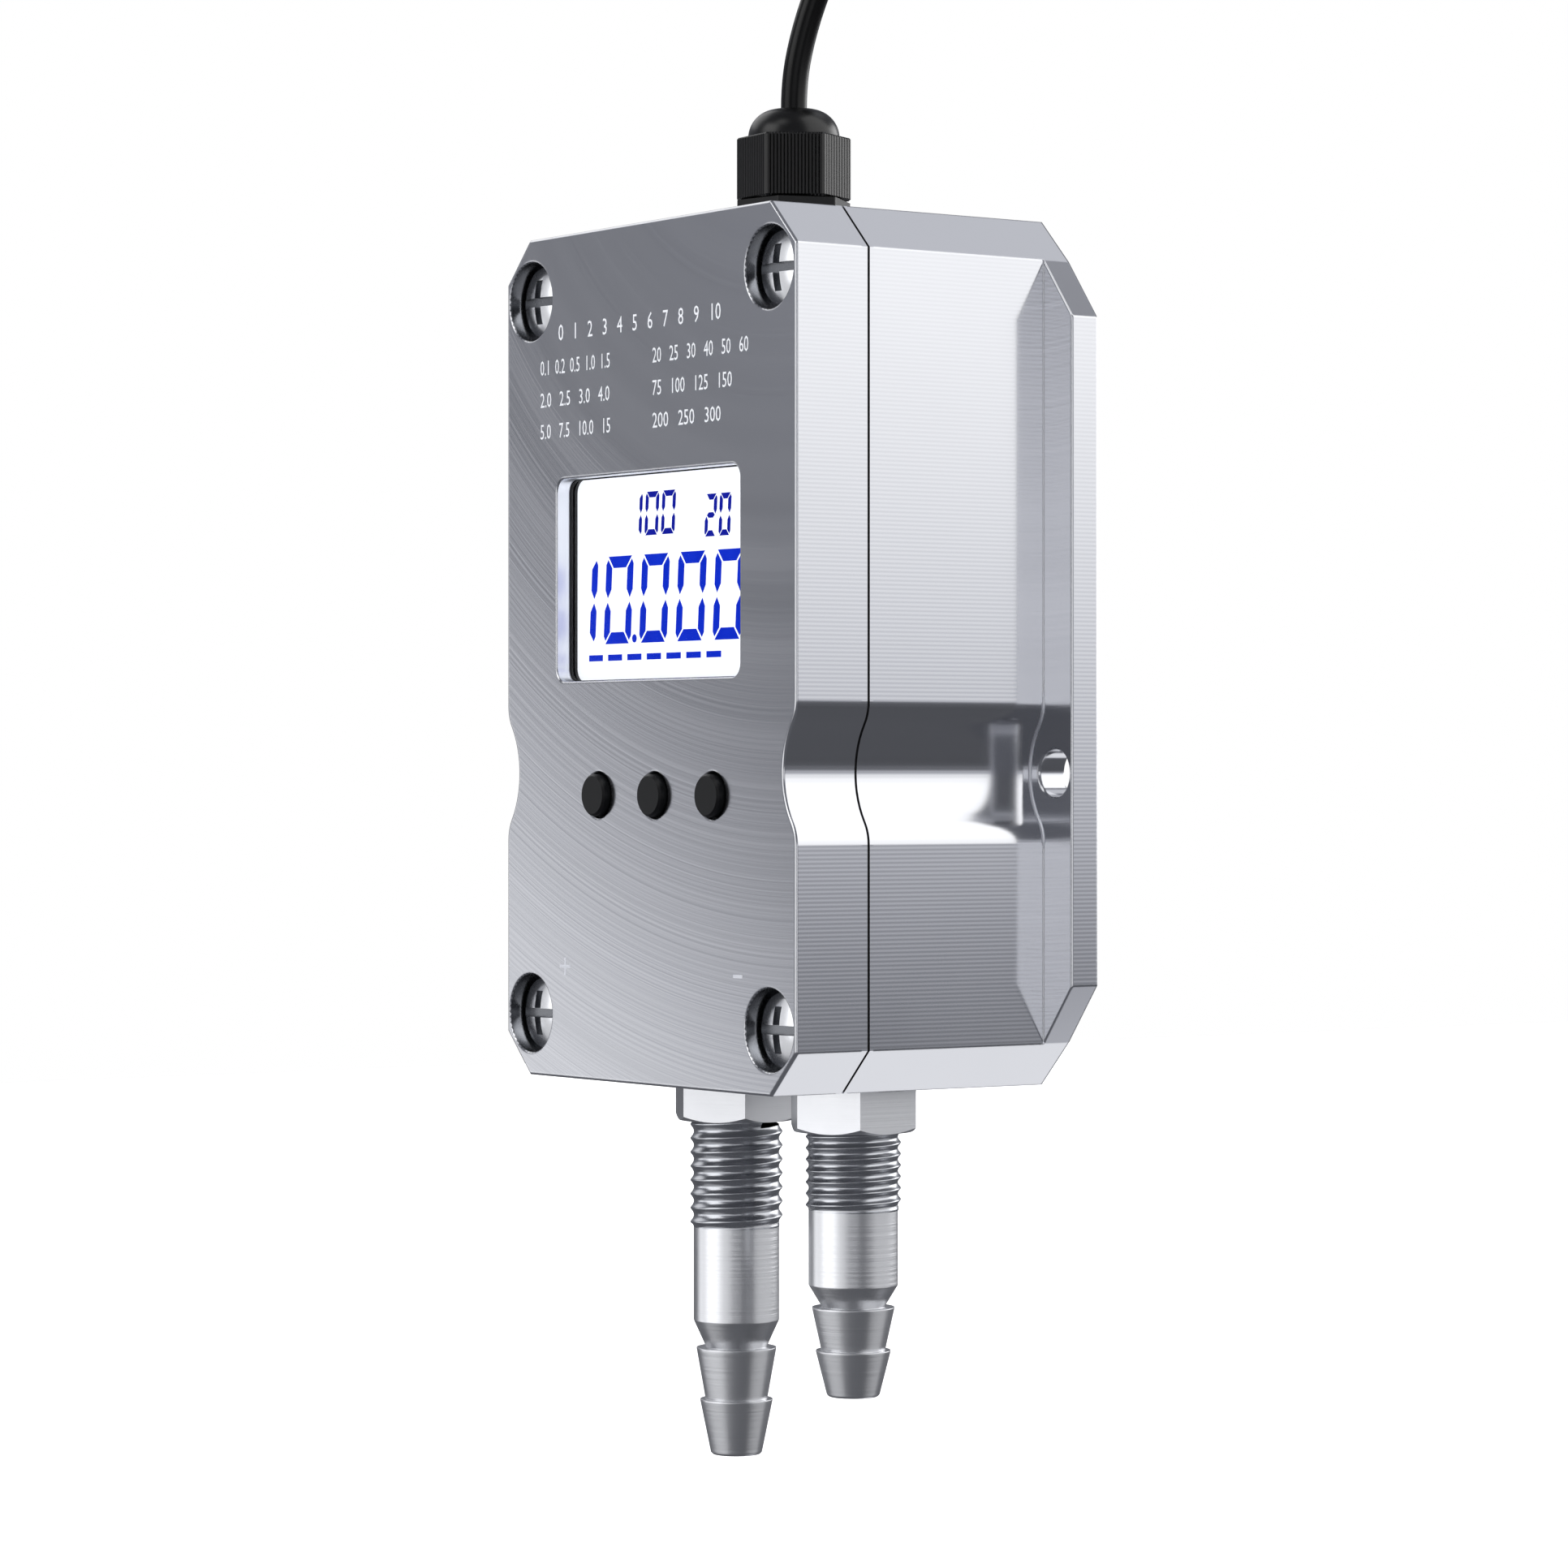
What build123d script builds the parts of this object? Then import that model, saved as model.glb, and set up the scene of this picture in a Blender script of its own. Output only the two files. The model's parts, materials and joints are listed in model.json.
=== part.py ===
from build123d import *
from math import cos, hypot, pi, radians, sin, tan
import os

# Differential pressure transmitter for a wall.
# Millimetres. The origin is midway between the two wall holes, on the back plane.
# +X is to the right seen from the front, +Y goes into the wall, +Z is up.

# Housing outline, seen from the front.
body_width = 75.8
body_height = 125.0
corner_chamfer = 6.3
waist_depth = 3.15
waist_inner_radius = 12.0
waist_outer_radius = 5.5
edge_radius = 0.4
hole_rim_bevel = 0.3
opening_bevel = 0.2

# Depths, from the front face to the wall.
cover_thickness = 12.15
gasket_thickness = 0.4
rear_depth = 35.35
cover_plate = 2.5
back_wall = 4.6
side_wall = 5.65
end_wall = 6.0
gasket_inset = 0.3

# Wall flange and its two holes.
flange_thickness = 4.6
flange_overhang = 6.6
flange_corner_drop = 14.8
wall_hole_outset = 2.35
wall_hole_diameter = 6.9
wall_hole_drop = 17.35

# Cover screws.
screw_inset_x = 6.65
screw_inset_z = 9.25
screw_diameter = 5.0
screw_clearance = 0.25
screw_length = 18.0
screw_tap_depth = 12.0
head_diameter = 10.4
head_rim = 1.5
head_dome = 1.15
head_below_face = 1.15
slot_width = 1.35
slot_depth = 1.1
cross_width = 1.6
cross_length = 6.6
counterbore_diameter = 11.7
boss_wall = 1.5

# Display window and what lies behind it.
window_width = 48.0
window_height = 30.0
window_corner = 2.0
window_above_middle = 11.25
pane_lap = 1.5
pane_thickness = 1.0
frame_lip = 0.9
frame_border = 4.0
fit_gap = 0.1
lcd_thickness = 1.6
lcd_lap = 2.0
backlight_thickness = 2.0

# Display board, its standoffs and screws.
board_thickness = 1.6
display_board_width = 58.0
display_board_height = 66.0
display_board_above_middle = 4.0
display_post_inset = 3.0
post_width = 5.0
post_stud_diameter = 3.0
post_stud_length = 1.2
board_screw_diameter = 2.5
board_screw_grip = 4.0
board_screw_head_diameter = 4.5
board_screw_head_height = 1.6

# Push buttons.
button_pitch = 14.85
button_row_x = 2.25
button_below_middle = 20.55
button_diameter = 6.15
button_hole_diameter = 6.7
button_proud = 1.15
button_bevel = 0.3
button_rim_diameter = 8.4
button_rim_thickness = 0.9
button_rim_gap = 0.05
button_stem_diameter = 3.0
plunger_diameter = 3.5
plunger_length = 1.5
plunger_proud = 0.5
plunger_clearance = 0.05
plunger_room = 0.6
switch_size = 6.0
switch_height = 3.5

# Pressure ports, the same in both fittings.
port_spacing = 30.0
port_axis_depth = 26.2
thread_diameter = 14.0
thread_pitch_diameter = 12.7
thread_start_gap = 0.5
shank_diameter = 12.8
neck_diameter = 9.1
barb_diameter = 12.0
barb_waist_diameter = 9.3
second_barb_diameter = 10.9
tip_diameter = 7.7
port_bore = 5.0
tip_bevel = 0.3
seal_thickness = 0.6
seal_diameter = 19.0
jam_nut_flats = 17.2
jam_nut_thickness = 6.2
high_nut_turn = 3.0
jam_nut_chamfer_angle = 30.0
spigot_diameter = 7.0
spigot_length = 10.0

# Lengths of the two fittings: thread below the nut, shank, cone, first barb, second barb.
high_lengths = (15.75, 14.3, 4.1, 7.75, 8.3)
low_lengths = (11.15, 11.15, 3.2, 6.25, 6.75)

# Sensor and its hoses.
hose_diameter = 9.5
hose_gap = 1.0
hose_room = 16.5
nozzle_length = 8.0
sensor_margin = 8.0
sensor_height = 20.0
sensor_depth = 17.6

# Main board.
main_board_side_gap = 4.25
main_board_end_gap = 18.5
main_board_from_back = 6.7
main_post_inset = 4.0
main_post_diameter = 7.0

# Cable gland.
gland_thread_diameter = 12.5
gland_thread_length = 10.0
gland_washer_diameter = 16.0
gland_washer_thickness = 0.5
gland_hex_flats = 15.0
gland_hex_height = 4.0
gland_hex_turn = -20.3
gland_neck_diameter = 12.0
gland_neck_height = 7.4
gland_bore = 5.0
gland_seat_bore = 8.2
gland_seal_proud = 1.0
gland_locknut_flats = 17.0
gland_locknut_height = 3.0
gland_nut_gap = 0.1
gland_nut_width = 14.8
gland_nut_height = 9.3
gland_nut_turn = -34.0
gland_nut_corner = 0.35
gland_dome_diameter = 13.5
gland_dome_height = 4.15
gland_lip_radius = 0.5
ribs_per_face = 8
rib_depth = 0.22

# Cable, coil and its tie.
cable_diameter = 3.9
mouth_clearance = 0.15
cable_tail_inside = 16.0
core_diameter = 1.1
core_step = 0.6
core_fan_height = 8.5
terminal_pitch = 5.0
terminal_height = 10.0
terminal_depth = 10.0
terminal_screw_diameter = 3.2
ribbon_width = 14.0
ribbon_thickness = 0.9
ribbon_above_middle = 6.0
ribbon_drop = 6.0
header_depth = 3.0
header_height = 4.0
coil_radius = 23.0
coil_rows = 3
coil_wide_row = 4
coil_turns = 10
coil_centre_z = 152.0
tie_width = 5.0
tie_thickness = 0.9
tie_angle = 200.0
wire_bend_radius = 11.0
wire_angles = (80.0, 90.0, 98.0, 106.0)

# Places worked out from the sizes above.
total_depth = cover_thickness + gasket_thickness + rear_depth
middle = wall_hole_drop
top = middle + body_height / 2
bottom = middle - body_height / 2
half_width = body_width / 2
axis_y = port_axis_depth - total_depth
cavity_width = body_width - 2 * side_wall
cavity_height = body_height - 2 * end_wall
cavity_top = top - end_wall
cavity_bottom = bottom + end_wall
window_z = middle + window_above_middle
button_z = middle - button_below_middle
button_places = [button_row_x + step * button_pitch for step in (-1, 0, 1)]
screw_hole_diameter = screw_diameter + 2 * screw_clearance
counterbore_depth = head_below_face + head_dome + head_rim
boss_diameter = counterbore_diameter + 2 * boss_wall
wall_hole_x = half_width + wall_hole_outset
wall_hole_places = [(-wall_hole_x, 0), (wall_hole_x, 0)]
main_board_width = cavity_width - 2 * main_board_side_gap
main_board_height = cavity_height - 2 * main_board_end_gap

os.makedirs("parts", exist_ok=True)


def front(depth):
    """The plane facing forward at a depth behind the front face."""
    return Plane.XZ.offset(total_depth - depth)


def corners(width, height, centre):
    """Four places, seen from the front, round a centre height."""
    return [(x * width / 2, centre + z * height / 2) for x in (-1, 1) for z in (-1, 1)]


screw_places = corners(
    body_width - 2 * screw_inset_x, body_height - 2 * screw_inset_z, middle
)
display_post_places = corners(
    display_board_width - 2 * display_post_inset,
    display_board_height - 2 * display_post_inset,
    middle + display_board_above_middle,
)
main_post_places = corners(
    main_board_width - 2 * main_post_inset,
    main_board_height - 2 * main_post_inset,
    middle,
)


def hexagon(flats, turn):
    """Regular hexagon with a flat facing the given angle."""
    RegularPolygon(flats / 2, 6, major_radius=False, rotation=turn + 30)


def save(builder, name):
    builder.part.label = name
    export_step(builder.part, f"parts/{name}.step")


def body_outline():
    """Chamfered rectangle with a rounded waist at the wall holes."""
    waist_x = half_width - waist_depth + waist_inner_radius
    with BuildSketch() as outline:
        with Locations((0, middle)):
            Rectangle(body_width, body_height)
        chamfer(outline.vertices(), corner_chamfer)
        with Locations((-waist_x, 0), (waist_x, 0)):
            Circle(waist_inner_radius, mode=Mode.SUBTRACT)
        notch = outline.vertices().filter_by(lambda v: abs(v.Y) < waist_inner_radius)
        fillet(notch, waist_outer_radius)
    return outline.sketch


def flange_outline():
    """Outline of the wall flange, wider than the body and cut to its corners."""
    shoulder = top - corner_chamfer
    corner = top - flange_corner_drop
    with BuildSketch() as outline:
        with BuildLine():
            Polyline(
                (0, top),
                (half_width - corner_chamfer, top),
                (half_width, shoulder),
                (half_width + flange_overhang, corner),
                (half_width + flange_overhang, 2 * middle - corner),
                (half_width, 2 * middle - shoulder),
                (half_width - corner_chamfer, bottom),
                (0, bottom),
            )
            mirror(about=Plane.YZ)
        make_face()
    return outline.sketch


def cavity_outline():
    """Pocket inside the housing, which leaves a boss round each cover screw."""
    with BuildSketch() as outline:
        with Locations((0, middle)):
            Rectangle(cavity_width, cavity_height)
        with Locations(*screw_places):
            Circle(boss_diameter / 2, mode=Mode.SUBTRACT)
    return outline.sketch


# Front cover, milled from plate and hollow behind.
with BuildPart() as front_cover:
    with BuildSketch(front(cover_thickness)):
        add(body_outline())
    extrude(amount=cover_thickness)
    face_edges = front_cover.faces().sort_by(Axis.Y)[0].outer_wire().edges()
    fillet(face_edges, edge_radius)
    with BuildSketch(front(cover_thickness)):
        add(cavity_outline())
    extrude(amount=cover_thickness - cover_plate, mode=Mode.SUBTRACT)
    with BuildSketch(front(0)):
        with Locations((0, window_z)):
            RectangleRounded(window_width, window_height, window_corner)
        with Locations(*[(x, button_z) for x in button_places]):
            Circle(button_hole_diameter / 2)
        with Locations(*screw_places):
            Circle(screw_hole_diameter / 2)
    extrude(amount=-cover_thickness, mode=Mode.SUBTRACT)
    with BuildSketch(front(0)):
        with Locations(*screw_places):
            Circle(counterbore_diameter / 2)
    extrude(amount=-counterbore_depth, mode=Mode.SUBTRACT)
    with BuildSketch(front(cover_plate)):
        with Locations(*display_post_places):
            Circle(post_stud_diameter / 2)
    extrude(amount=post_stud_length, mode=Mode.SUBTRACT)
    openings = front_cover.faces().sort_by(Axis.Y)[0].inner_wires()
    rims = [edge for wire in openings for edge in wire.edges()]
    chamfer(rims, opening_bevel)
save(front_cover, "front_cover")

# Rear housing with the wall flange, milled in one piece.
with BuildPart() as rear_housing:
    with BuildSketch(Plane.XZ):
        add(body_outline())
    extrude(amount=rear_depth)
    with BuildSketch(Plane.XZ):
        add(flange_outline())
    extrude(amount=flange_thickness)
    with BuildSketch(Plane.XZ):
        with Locations(*wall_hole_places):
            Circle(wall_hole_diameter / 2)
    extrude(amount=flange_thickness, mode=Mode.SUBTRACT)
    flange_edges = rear_housing.edges().filter_by(Axis.Z).filter_by(
        lambda e: abs(abs(e.center().X) - half_width - flange_overhang) < 0.01
    )
    fillet(flange_edges.sort_by(Axis.Y)[:2], edge_radius)
    hole_rims = rear_housing.edges().filter_by(GeomType.CIRCLE).filter_by(
        lambda e: abs(e.radius - wall_hole_diameter / 2) < 0.01
        and abs(e.center().Y + flange_thickness) < 0.01
    )
    chamfer(hole_rims, hole_rim_bevel)
    with BuildSketch(Plane.XZ.offset(rear_depth)):
        add(cavity_outline())
    extrude(amount=back_wall - rear_depth, mode=Mode.SUBTRACT)
    with BuildSketch(Plane.XZ.offset(back_wall)):
        with Locations(*main_post_places):
            Circle(main_post_diameter / 2)
    extrude(amount=main_board_from_back)
    with BuildSketch(Plane.XZ.offset(back_wall + main_board_from_back)):
        with Locations(*main_post_places):
            Circle(board_screw_diameter / 2)
    extrude(amount=-board_screw_grip, mode=Mode.SUBTRACT)
    with BuildSketch(Plane.XZ.offset(rear_depth)):
        with Locations(*screw_places):
            Circle(screw_diameter / 2)
    extrude(amount=-screw_tap_depth, mode=Mode.SUBTRACT)
    with BuildSketch(Plane.XY.offset(bottom)):
        with Locations((-port_spacing / 2, axis_y), (port_spacing / 2, axis_y)):
            Circle(thread_pitch_diameter / 2)
    extrude(amount=end_wall, mode=Mode.SUBTRACT)
    with BuildSketch(Plane.XY.offset(top)):
        with Locations((0, axis_y)):
            Circle(gland_thread_diameter / 2)
    extrude(amount=-end_wall, mode=Mode.SUBTRACT)
save(rear_housing, "rear_housing")

# Thin rubber gasket between cover and rear housing.
with BuildPart() as cover_gasket:
    with BuildSketch(front(cover_thickness + gasket_thickness)):
        add(body_outline())
        offset(amount=-gasket_inset, kind=Kind.INTERSECTION, mode=Mode.REPLACE)
        add(cavity_outline(), mode=Mode.SUBTRACT)
        with Locations(*screw_places):
            Circle(screw_hole_diameter / 2, mode=Mode.SUBTRACT)
    extrude(amount=gasket_thickness)
save(cover_gasket, "cover_gasket")

# Four pan head screws with a full slot and a shorter cross slot.
head_back = counterbore_depth
dome_radius = ((head_diameter / 2) ** 2 + head_dome**2) / (2 * head_dome)
with BuildPart() as cover_screws:
    with BuildSketch(Plane.XY) as screw_profile:
        with BuildLine():
            rim_top = (head_diameter / 2, head_rim)
            crown = (0, head_rim + head_dome)
            Line((0, -screw_length), (screw_diameter / 2, -screw_length))
            Line((screw_diameter / 2, -screw_length), (screw_diameter / 2, 0))
            Line((screw_diameter / 2, 0), (head_diameter / 2, 0))
            Line((head_diameter / 2, 0), rim_top)
            RadiusArc(rim_top, crown, -dome_radius)
            Line(crown, (0, -screw_length))
        make_face()
    revolve(axis=Axis.Y)
    with BuildSketch(Plane.XZ.offset(-head_rim - head_dome)):
        Rectangle(head_diameter, slot_width)
        Rectangle(cross_width, cross_length)
    extrude(amount=slot_depth, mode=Mode.SUBTRACT)
one_screw = cover_screws.part
with BuildPart() as cover_screws:
    with Locations(*[(x, head_back - total_depth, z) for x, z in screw_places]):
        add(one_screw.rotate(Axis.X, 180))
save(cover_screws, "cover_screws")

# Clear window pane, clamped between the cover and the display frame.
pane_width = window_width + 2 * pane_lap
pane_height = window_height + 2 * pane_lap
with BuildPart() as window_pane:
    with BuildSketch(front(cover_plate + pane_thickness)):
        with Locations((0, window_z)):
            RectangleRounded(pane_width, pane_height, window_corner)
    extrude(amount=pane_thickness)
save(window_pane, "window_pane")

# Black frame that carries the pane, the display glass and the backlight.
lcd_front = cover_plate + pane_thickness + frame_lip
board_front = lcd_front + lcd_thickness + backlight_thickness
lcd_width = window_width + 2 * lcd_lap
lcd_height = window_height + 2 * lcd_lap
with BuildPart() as lcd_frame:
    with BuildSketch(front(board_front)):
        with Locations((0, window_z)):
            Rectangle(window_width + 2 * frame_border, window_height + 2 * frame_border)
    extrude(amount=board_front - cover_plate)
    with BuildSketch(front(cover_plate)):
        with Locations((0, window_z)):
            RectangleRounded(pane_width + fit_gap, pane_height + fit_gap, window_corner)
    extrude(amount=-pane_thickness, mode=Mode.SUBTRACT)
    with BuildSketch(front(cover_plate)):
        with Locations((0, window_z)):
            RectangleRounded(window_width, window_height, window_corner)
    extrude(amount=-board_front, mode=Mode.SUBTRACT)
    with BuildSketch(front(board_front)):
        with Locations((0, window_z)):
            Rectangle(lcd_width + fit_gap, lcd_height + fit_gap)
    extrude(amount=lcd_thickness + backlight_thickness, mode=Mode.SUBTRACT)
save(lcd_frame, "lcd_frame")

with BuildPart() as lcd_panel:
    with BuildSketch(front(lcd_front + lcd_thickness)):
        with Locations((0, window_z)):
            Rectangle(lcd_width, lcd_height)
    extrude(amount=lcd_thickness)
save(lcd_panel, "lcd_panel")

with BuildPart() as lcd_backlight:
    with BuildSketch(front(board_front)):
        with Locations((0, window_z)):
            Rectangle(lcd_width, lcd_height)
    extrude(amount=backlight_thickness)
    chamfer(lcd_backlight.faces().sort_by(Axis.Y)[0].edges(), edge_radius)
save(lcd_backlight, "lcd_backlight")

# Display board on four brass posts pressed into the cover.
board_back = board_front + board_thickness
with BuildPart() as display_board:
    with BuildSketch(front(board_back)):
        with Locations((0, middle + display_board_above_middle)):
            RectangleRounded(display_board_width, display_board_height, window_corner)
        with Locations(*display_post_places):
            Circle(board_screw_diameter / 2 + fit_gap, mode=Mode.SUBTRACT)
    extrude(amount=board_thickness)
save(display_board, "display_board")

with BuildPart() as display_posts:
    with BuildSketch(front(board_front)):
        with Locations(*display_post_places):
            hexagon(post_width, 0)
    extrude(amount=board_front - cover_plate)
    with BuildSketch(front(cover_plate)):
        with Locations(*display_post_places):
            Circle(post_stud_diameter / 2)
    extrude(amount=post_stud_length)
    with BuildSketch(front(board_front)):
        with Locations(*display_post_places):
            Circle(board_screw_diameter / 2)
    extrude(amount=board_screw_grip, mode=Mode.SUBTRACT)
save(display_posts, "display_posts")


def board_screws(name, places, board_face, toward_front):
    """Small pan head screws; the head lies on the board face."""
    grip = board_thickness + board_screw_grip
    sign = 1 if toward_front else -1
    with BuildPart() as screws:
        with BuildSketch(front(board_face)):
            with Locations(*places):
                Circle(board_screw_diameter / 2)
        extrude(amount=sign * grip)
        with BuildSketch(front(board_face)):
            with Locations(*places):
                Circle(board_screw_head_diameter / 2)
        extrude(amount=-sign * board_screw_head_height)
    save(screws, name)


board_screws("display_board_screws", display_post_places, board_back, True)

# Tactile switches on the display board, one under each button.
with BuildPart() as tact_switches:
    with BuildSketch(front(board_front)):
        with Locations(*[(x, button_z) for x in button_places]):
            RectangleRounded(switch_size, switch_size, edge_radius)
    extrude(amount=switch_height)
    with BuildSketch(front(board_front - switch_height)):
        with Locations(*[(x, button_z) for x in button_places]):
            Circle(plunger_diameter / 2 + plunger_clearance)
    extrude(amount=-plunger_length - plunger_room, mode=Mode.SUBTRACT)
save(tact_switches, "tact_switches")

# Push buttons, each resting on the plunger of its switch.
plunger_front = board_front - switch_height - plunger_proud
rim_front = cover_plate + button_rim_gap
for x, side in zip(button_places, ("left", "middle", "right")):
    with BuildPart() as button:
        with BuildSketch(front(plunger_front)):
            with Locations((x, button_z)):
                Circle(button_stem_diameter / 2)
        extrude(amount=plunger_front)
        with BuildSketch(front(rim_front + button_rim_thickness)):
            with Locations((x, button_z)):
                Circle(button_rim_diameter / 2)
        extrude(amount=button_rim_thickness)
        with BuildSketch(front(rim_front)):
            with Locations((x, button_z)):
                Circle(button_diameter / 2)
        extrude(amount=rim_front + button_proud)
        chamfer(button.faces().sort_by(Axis.Y)[0].edges(), button_bevel)
    save(button, f"button_{side}")
    with BuildPart() as plunger:
        with BuildSketch(front(plunger_front + plunger_length)):
            with Locations((x, button_z)):
                Circle(plunger_diameter / 2)
        extrude(amount=plunger_length)
    save(plunger, f"switch_plunger_{side}")


# Jam nuts, chamfered below, and their bonded seals.
nut_top = bottom - seal_thickness
nut_bottom = nut_top - jam_nut_thickness
nut_corner = jam_nut_flats / 2 / cos(radians(30))
nut_bevel = (nut_corner - jam_nut_flats / 2) * tan(radians(jam_nut_chamfer_angle))
nuts = (("high", -port_spacing / 2, high_nut_turn), ("low", port_spacing / 2, 0))
for side, x, turn in nuts:
    with BuildPart() as nut:
        with BuildSketch(Plane.XY.offset(nut_bottom)):
            with Locations((x, axis_y)):
                hexagon(jam_nut_flats, turn)
                Circle(thread_pitch_diameter / 2, mode=Mode.SUBTRACT)
        extrude(amount=jam_nut_thickness)
        with BuildSketch(Plane.XZ.offset(-axis_y)):
            with BuildLine():
                Polyline(
                    (x, nut_bottom),
                    (x + jam_nut_flats / 2, nut_bottom),
                    (x + nut_corner, nut_bottom + nut_bevel),
                    (x + nut_corner, nut_top),
                    (x, nut_top),
                    close=True,
                )
            make_face()
        revolve(axis=Axis((x, axis_y, 0), (0, 0, 1)), mode=Mode.INTERSECT)
    save(nut, f"{side}_port_nut")
    with BuildPart() as seal:
        with BuildSketch(Plane.XY.offset(nut_top)):
            with Locations((x, axis_y)):
                Circle(seal_diameter / 2)
                Circle(thread_pitch_diameter / 2, mode=Mode.SUBTRACT)
        extrude(amount=seal_thickness)
    save(seal, f"{side}_port_seal")


def port_fitting(name, x, lengths):
    """Hose fitting with a two-step barb. Inside the nut its thread is at pitch diameter."""
    thread, shank, cone, first_barb, second_barb = lengths
    thread_end = nut_bottom - thread
    shank_end = thread_end - shank
    neck = shank_end - cone
    second = neck - first_barb
    tip = second - second_barb
    thread_start = nut_bottom - thread_start_gap
    relief = (thread_diameter - shank_diameter) / 2
    with BuildPart() as fitting:
        with BuildSketch(Plane.XZ.offset(-axis_y)) as profile:
            with BuildLine():
                Polyline(
                    (x + port_bore / 2, cavity_bottom + spigot_length),
                    (x + spigot_diameter / 2, cavity_bottom + spigot_length),
                    (x + spigot_diameter / 2, cavity_bottom),
                    (x + thread_pitch_diameter / 2, cavity_bottom),
                    (x + thread_pitch_diameter / 2, thread_start),
                    (x + thread_diameter / 2, thread_start),
                    (x + thread_diameter / 2, thread_end + relief),
                    (x + shank_diameter / 2, thread_end),
                    (x + shank_diameter / 2, shank_end),
                    (x + neck_diameter / 2, neck),
                    (x + barb_diameter / 2, neck),
                    (x + barb_waist_diameter / 2, second),
                    (x + second_barb_diameter / 2, second),
                    (x + tip_diameter / 2, tip),
                    (x + port_bore / 2, tip),
                    close=True,
                )
            make_face()
        revolve(axis=Axis((x, axis_y, 0), (0, 0, 1)))
        tip_edges = fitting.faces().sort_by(Axis.Z)[0].outer_wire().edges()
        chamfer(tip_edges, tip_bevel)
    save(fitting, name)


port_fitting("high_port_fitting", -port_spacing / 2, high_lengths)
port_fitting("low_port_fitting", port_spacing / 2, low_lengths)

# Sensor on the main board, joined to the fittings by two short hoses.
sensor_bottom = cavity_bottom + hose_gap + hose_room + nozzle_length
main_board_back = total_depth - back_wall - main_board_from_back
main_board_front = main_board_back - board_thickness
with BuildPart() as pressure_sensor:
    with BuildSketch(front(main_board_front)):
        with Locations((0, sensor_bottom + sensor_height / 2)):
            RectangleRounded(port_spacing + 2 * sensor_margin, sensor_height, window_corner)
    extrude(amount=sensor_depth)
    with BuildSketch(Plane.XY.offset(sensor_bottom)):
        with Locations((-port_spacing / 2, axis_y), (port_spacing / 2, axis_y)):
            Circle(spigot_diameter / 2)
    extrude(amount=-nozzle_length)
    with BuildSketch(Plane.XY.offset(sensor_bottom - nozzle_length)):
        with Locations((-port_spacing / 2, axis_y), (port_spacing / 2, axis_y)):
            Circle(port_bore / 2)
    extrude(amount=nozzle_length + sensor_height / 3, mode=Mode.SUBTRACT)
save(pressure_sensor, "pressure_sensor")

for side, x in (("high", -port_spacing / 2), ("low", port_spacing / 2)):
    with BuildPart() as hose:
        with BuildSketch(Plane.XY.offset(cavity_bottom + hose_gap)):
            with Locations((x, axis_y)):
                Circle(hose_diameter / 2)
                Circle(spigot_diameter / 2, mode=Mode.SUBTRACT)
        extrude(amount=hose_room + nozzle_length - hose_gap)
    save(hose, f"{side}_hose")

with BuildPart() as main_board:
    with BuildSketch(front(main_board_back)):
        with Locations((0, middle)):
            RectangleRounded(main_board_width, main_board_height, window_corner)
        with Locations(*main_post_places):
            Circle(board_screw_diameter / 2 + fit_gap, mode=Mode.SUBTRACT)
    extrude(amount=board_thickness)
save(main_board, "main_board")
board_screws("main_board_screws", main_post_places, main_board_front, False)

# Cable gland: washer, body, lock nut inside, rubber seal and dome nut.
hex_bottom = top + gland_washer_thickness
hex_top = hex_bottom + gland_hex_height
neck_top = hex_top + gland_neck_height
dome_nut_bottom = hex_top + gland_nut_gap
dome_nut_top = dome_nut_bottom + gland_nut_height
mouth_z = dome_nut_top + gland_dome_height
with BuildPart() as gland_washer:
    with BuildSketch(Plane.XY.offset(top)):
        with Locations((0, axis_y)):
            Circle(gland_washer_diameter / 2)
            Circle(gland_thread_diameter / 2, mode=Mode.SUBTRACT)
    extrude(amount=gland_washer_thickness)
save(gland_washer, "gland_washer")

with BuildPart() as gland_body:
    with BuildSketch(Plane.XY.offset(hex_bottom)) as hex_sketch:
        with Locations((0, axis_y)):
            hexagon(gland_hex_flats, gland_hex_turn)
        fillet(hex_sketch.vertices(), gland_nut_corner)
    extrude(amount=gland_hex_height)
    with BuildSketch(Plane.XY.offset(hex_bottom)):
        with Locations((0, axis_y)):
            Circle(gland_thread_diameter / 2)
    extrude(amount=-gland_thread_length)
    with BuildSketch(Plane.XY.offset(hex_top)):
        with Locations((0, axis_y)):
            Circle(gland_neck_diameter / 2)
    extrude(amount=gland_neck_height)
    with BuildSketch(Plane.XY.offset(neck_top)):
        with Locations((0, axis_y)):
            Circle(gland_seat_bore / 2)
    extrude(amount=-gland_neck_height, mode=Mode.SUBTRACT)
    with BuildSketch(Plane.XY.offset(hex_top)):
        with Locations((0, axis_y)):
            Circle(gland_bore / 2)
    extrude(amount=-gland_hex_height - gland_thread_length, mode=Mode.SUBTRACT)
save(gland_body, "gland_body")

with BuildPart() as gland_locknut:
    with BuildSketch(Plane.XY.offset(cavity_top)):
        with Locations((0, axis_y)):
            hexagon(gland_locknut_flats, 0)
            Circle(gland_thread_diameter / 2, mode=Mode.SUBTRACT)
    extrude(amount=-gland_locknut_height)
save(gland_locknut, "gland_locknut")

with BuildPart() as gland_seal:
    with BuildSketch(Plane.XY.offset(hex_top)):
        with Locations((0, axis_y)):
            Circle(gland_seat_bore / 2)
            Circle(cable_diameter / 2, mode=Mode.SUBTRACT)
    extrude(amount=gland_neck_height + gland_seal_proud)
save(gland_seal, "gland_seal")

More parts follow.
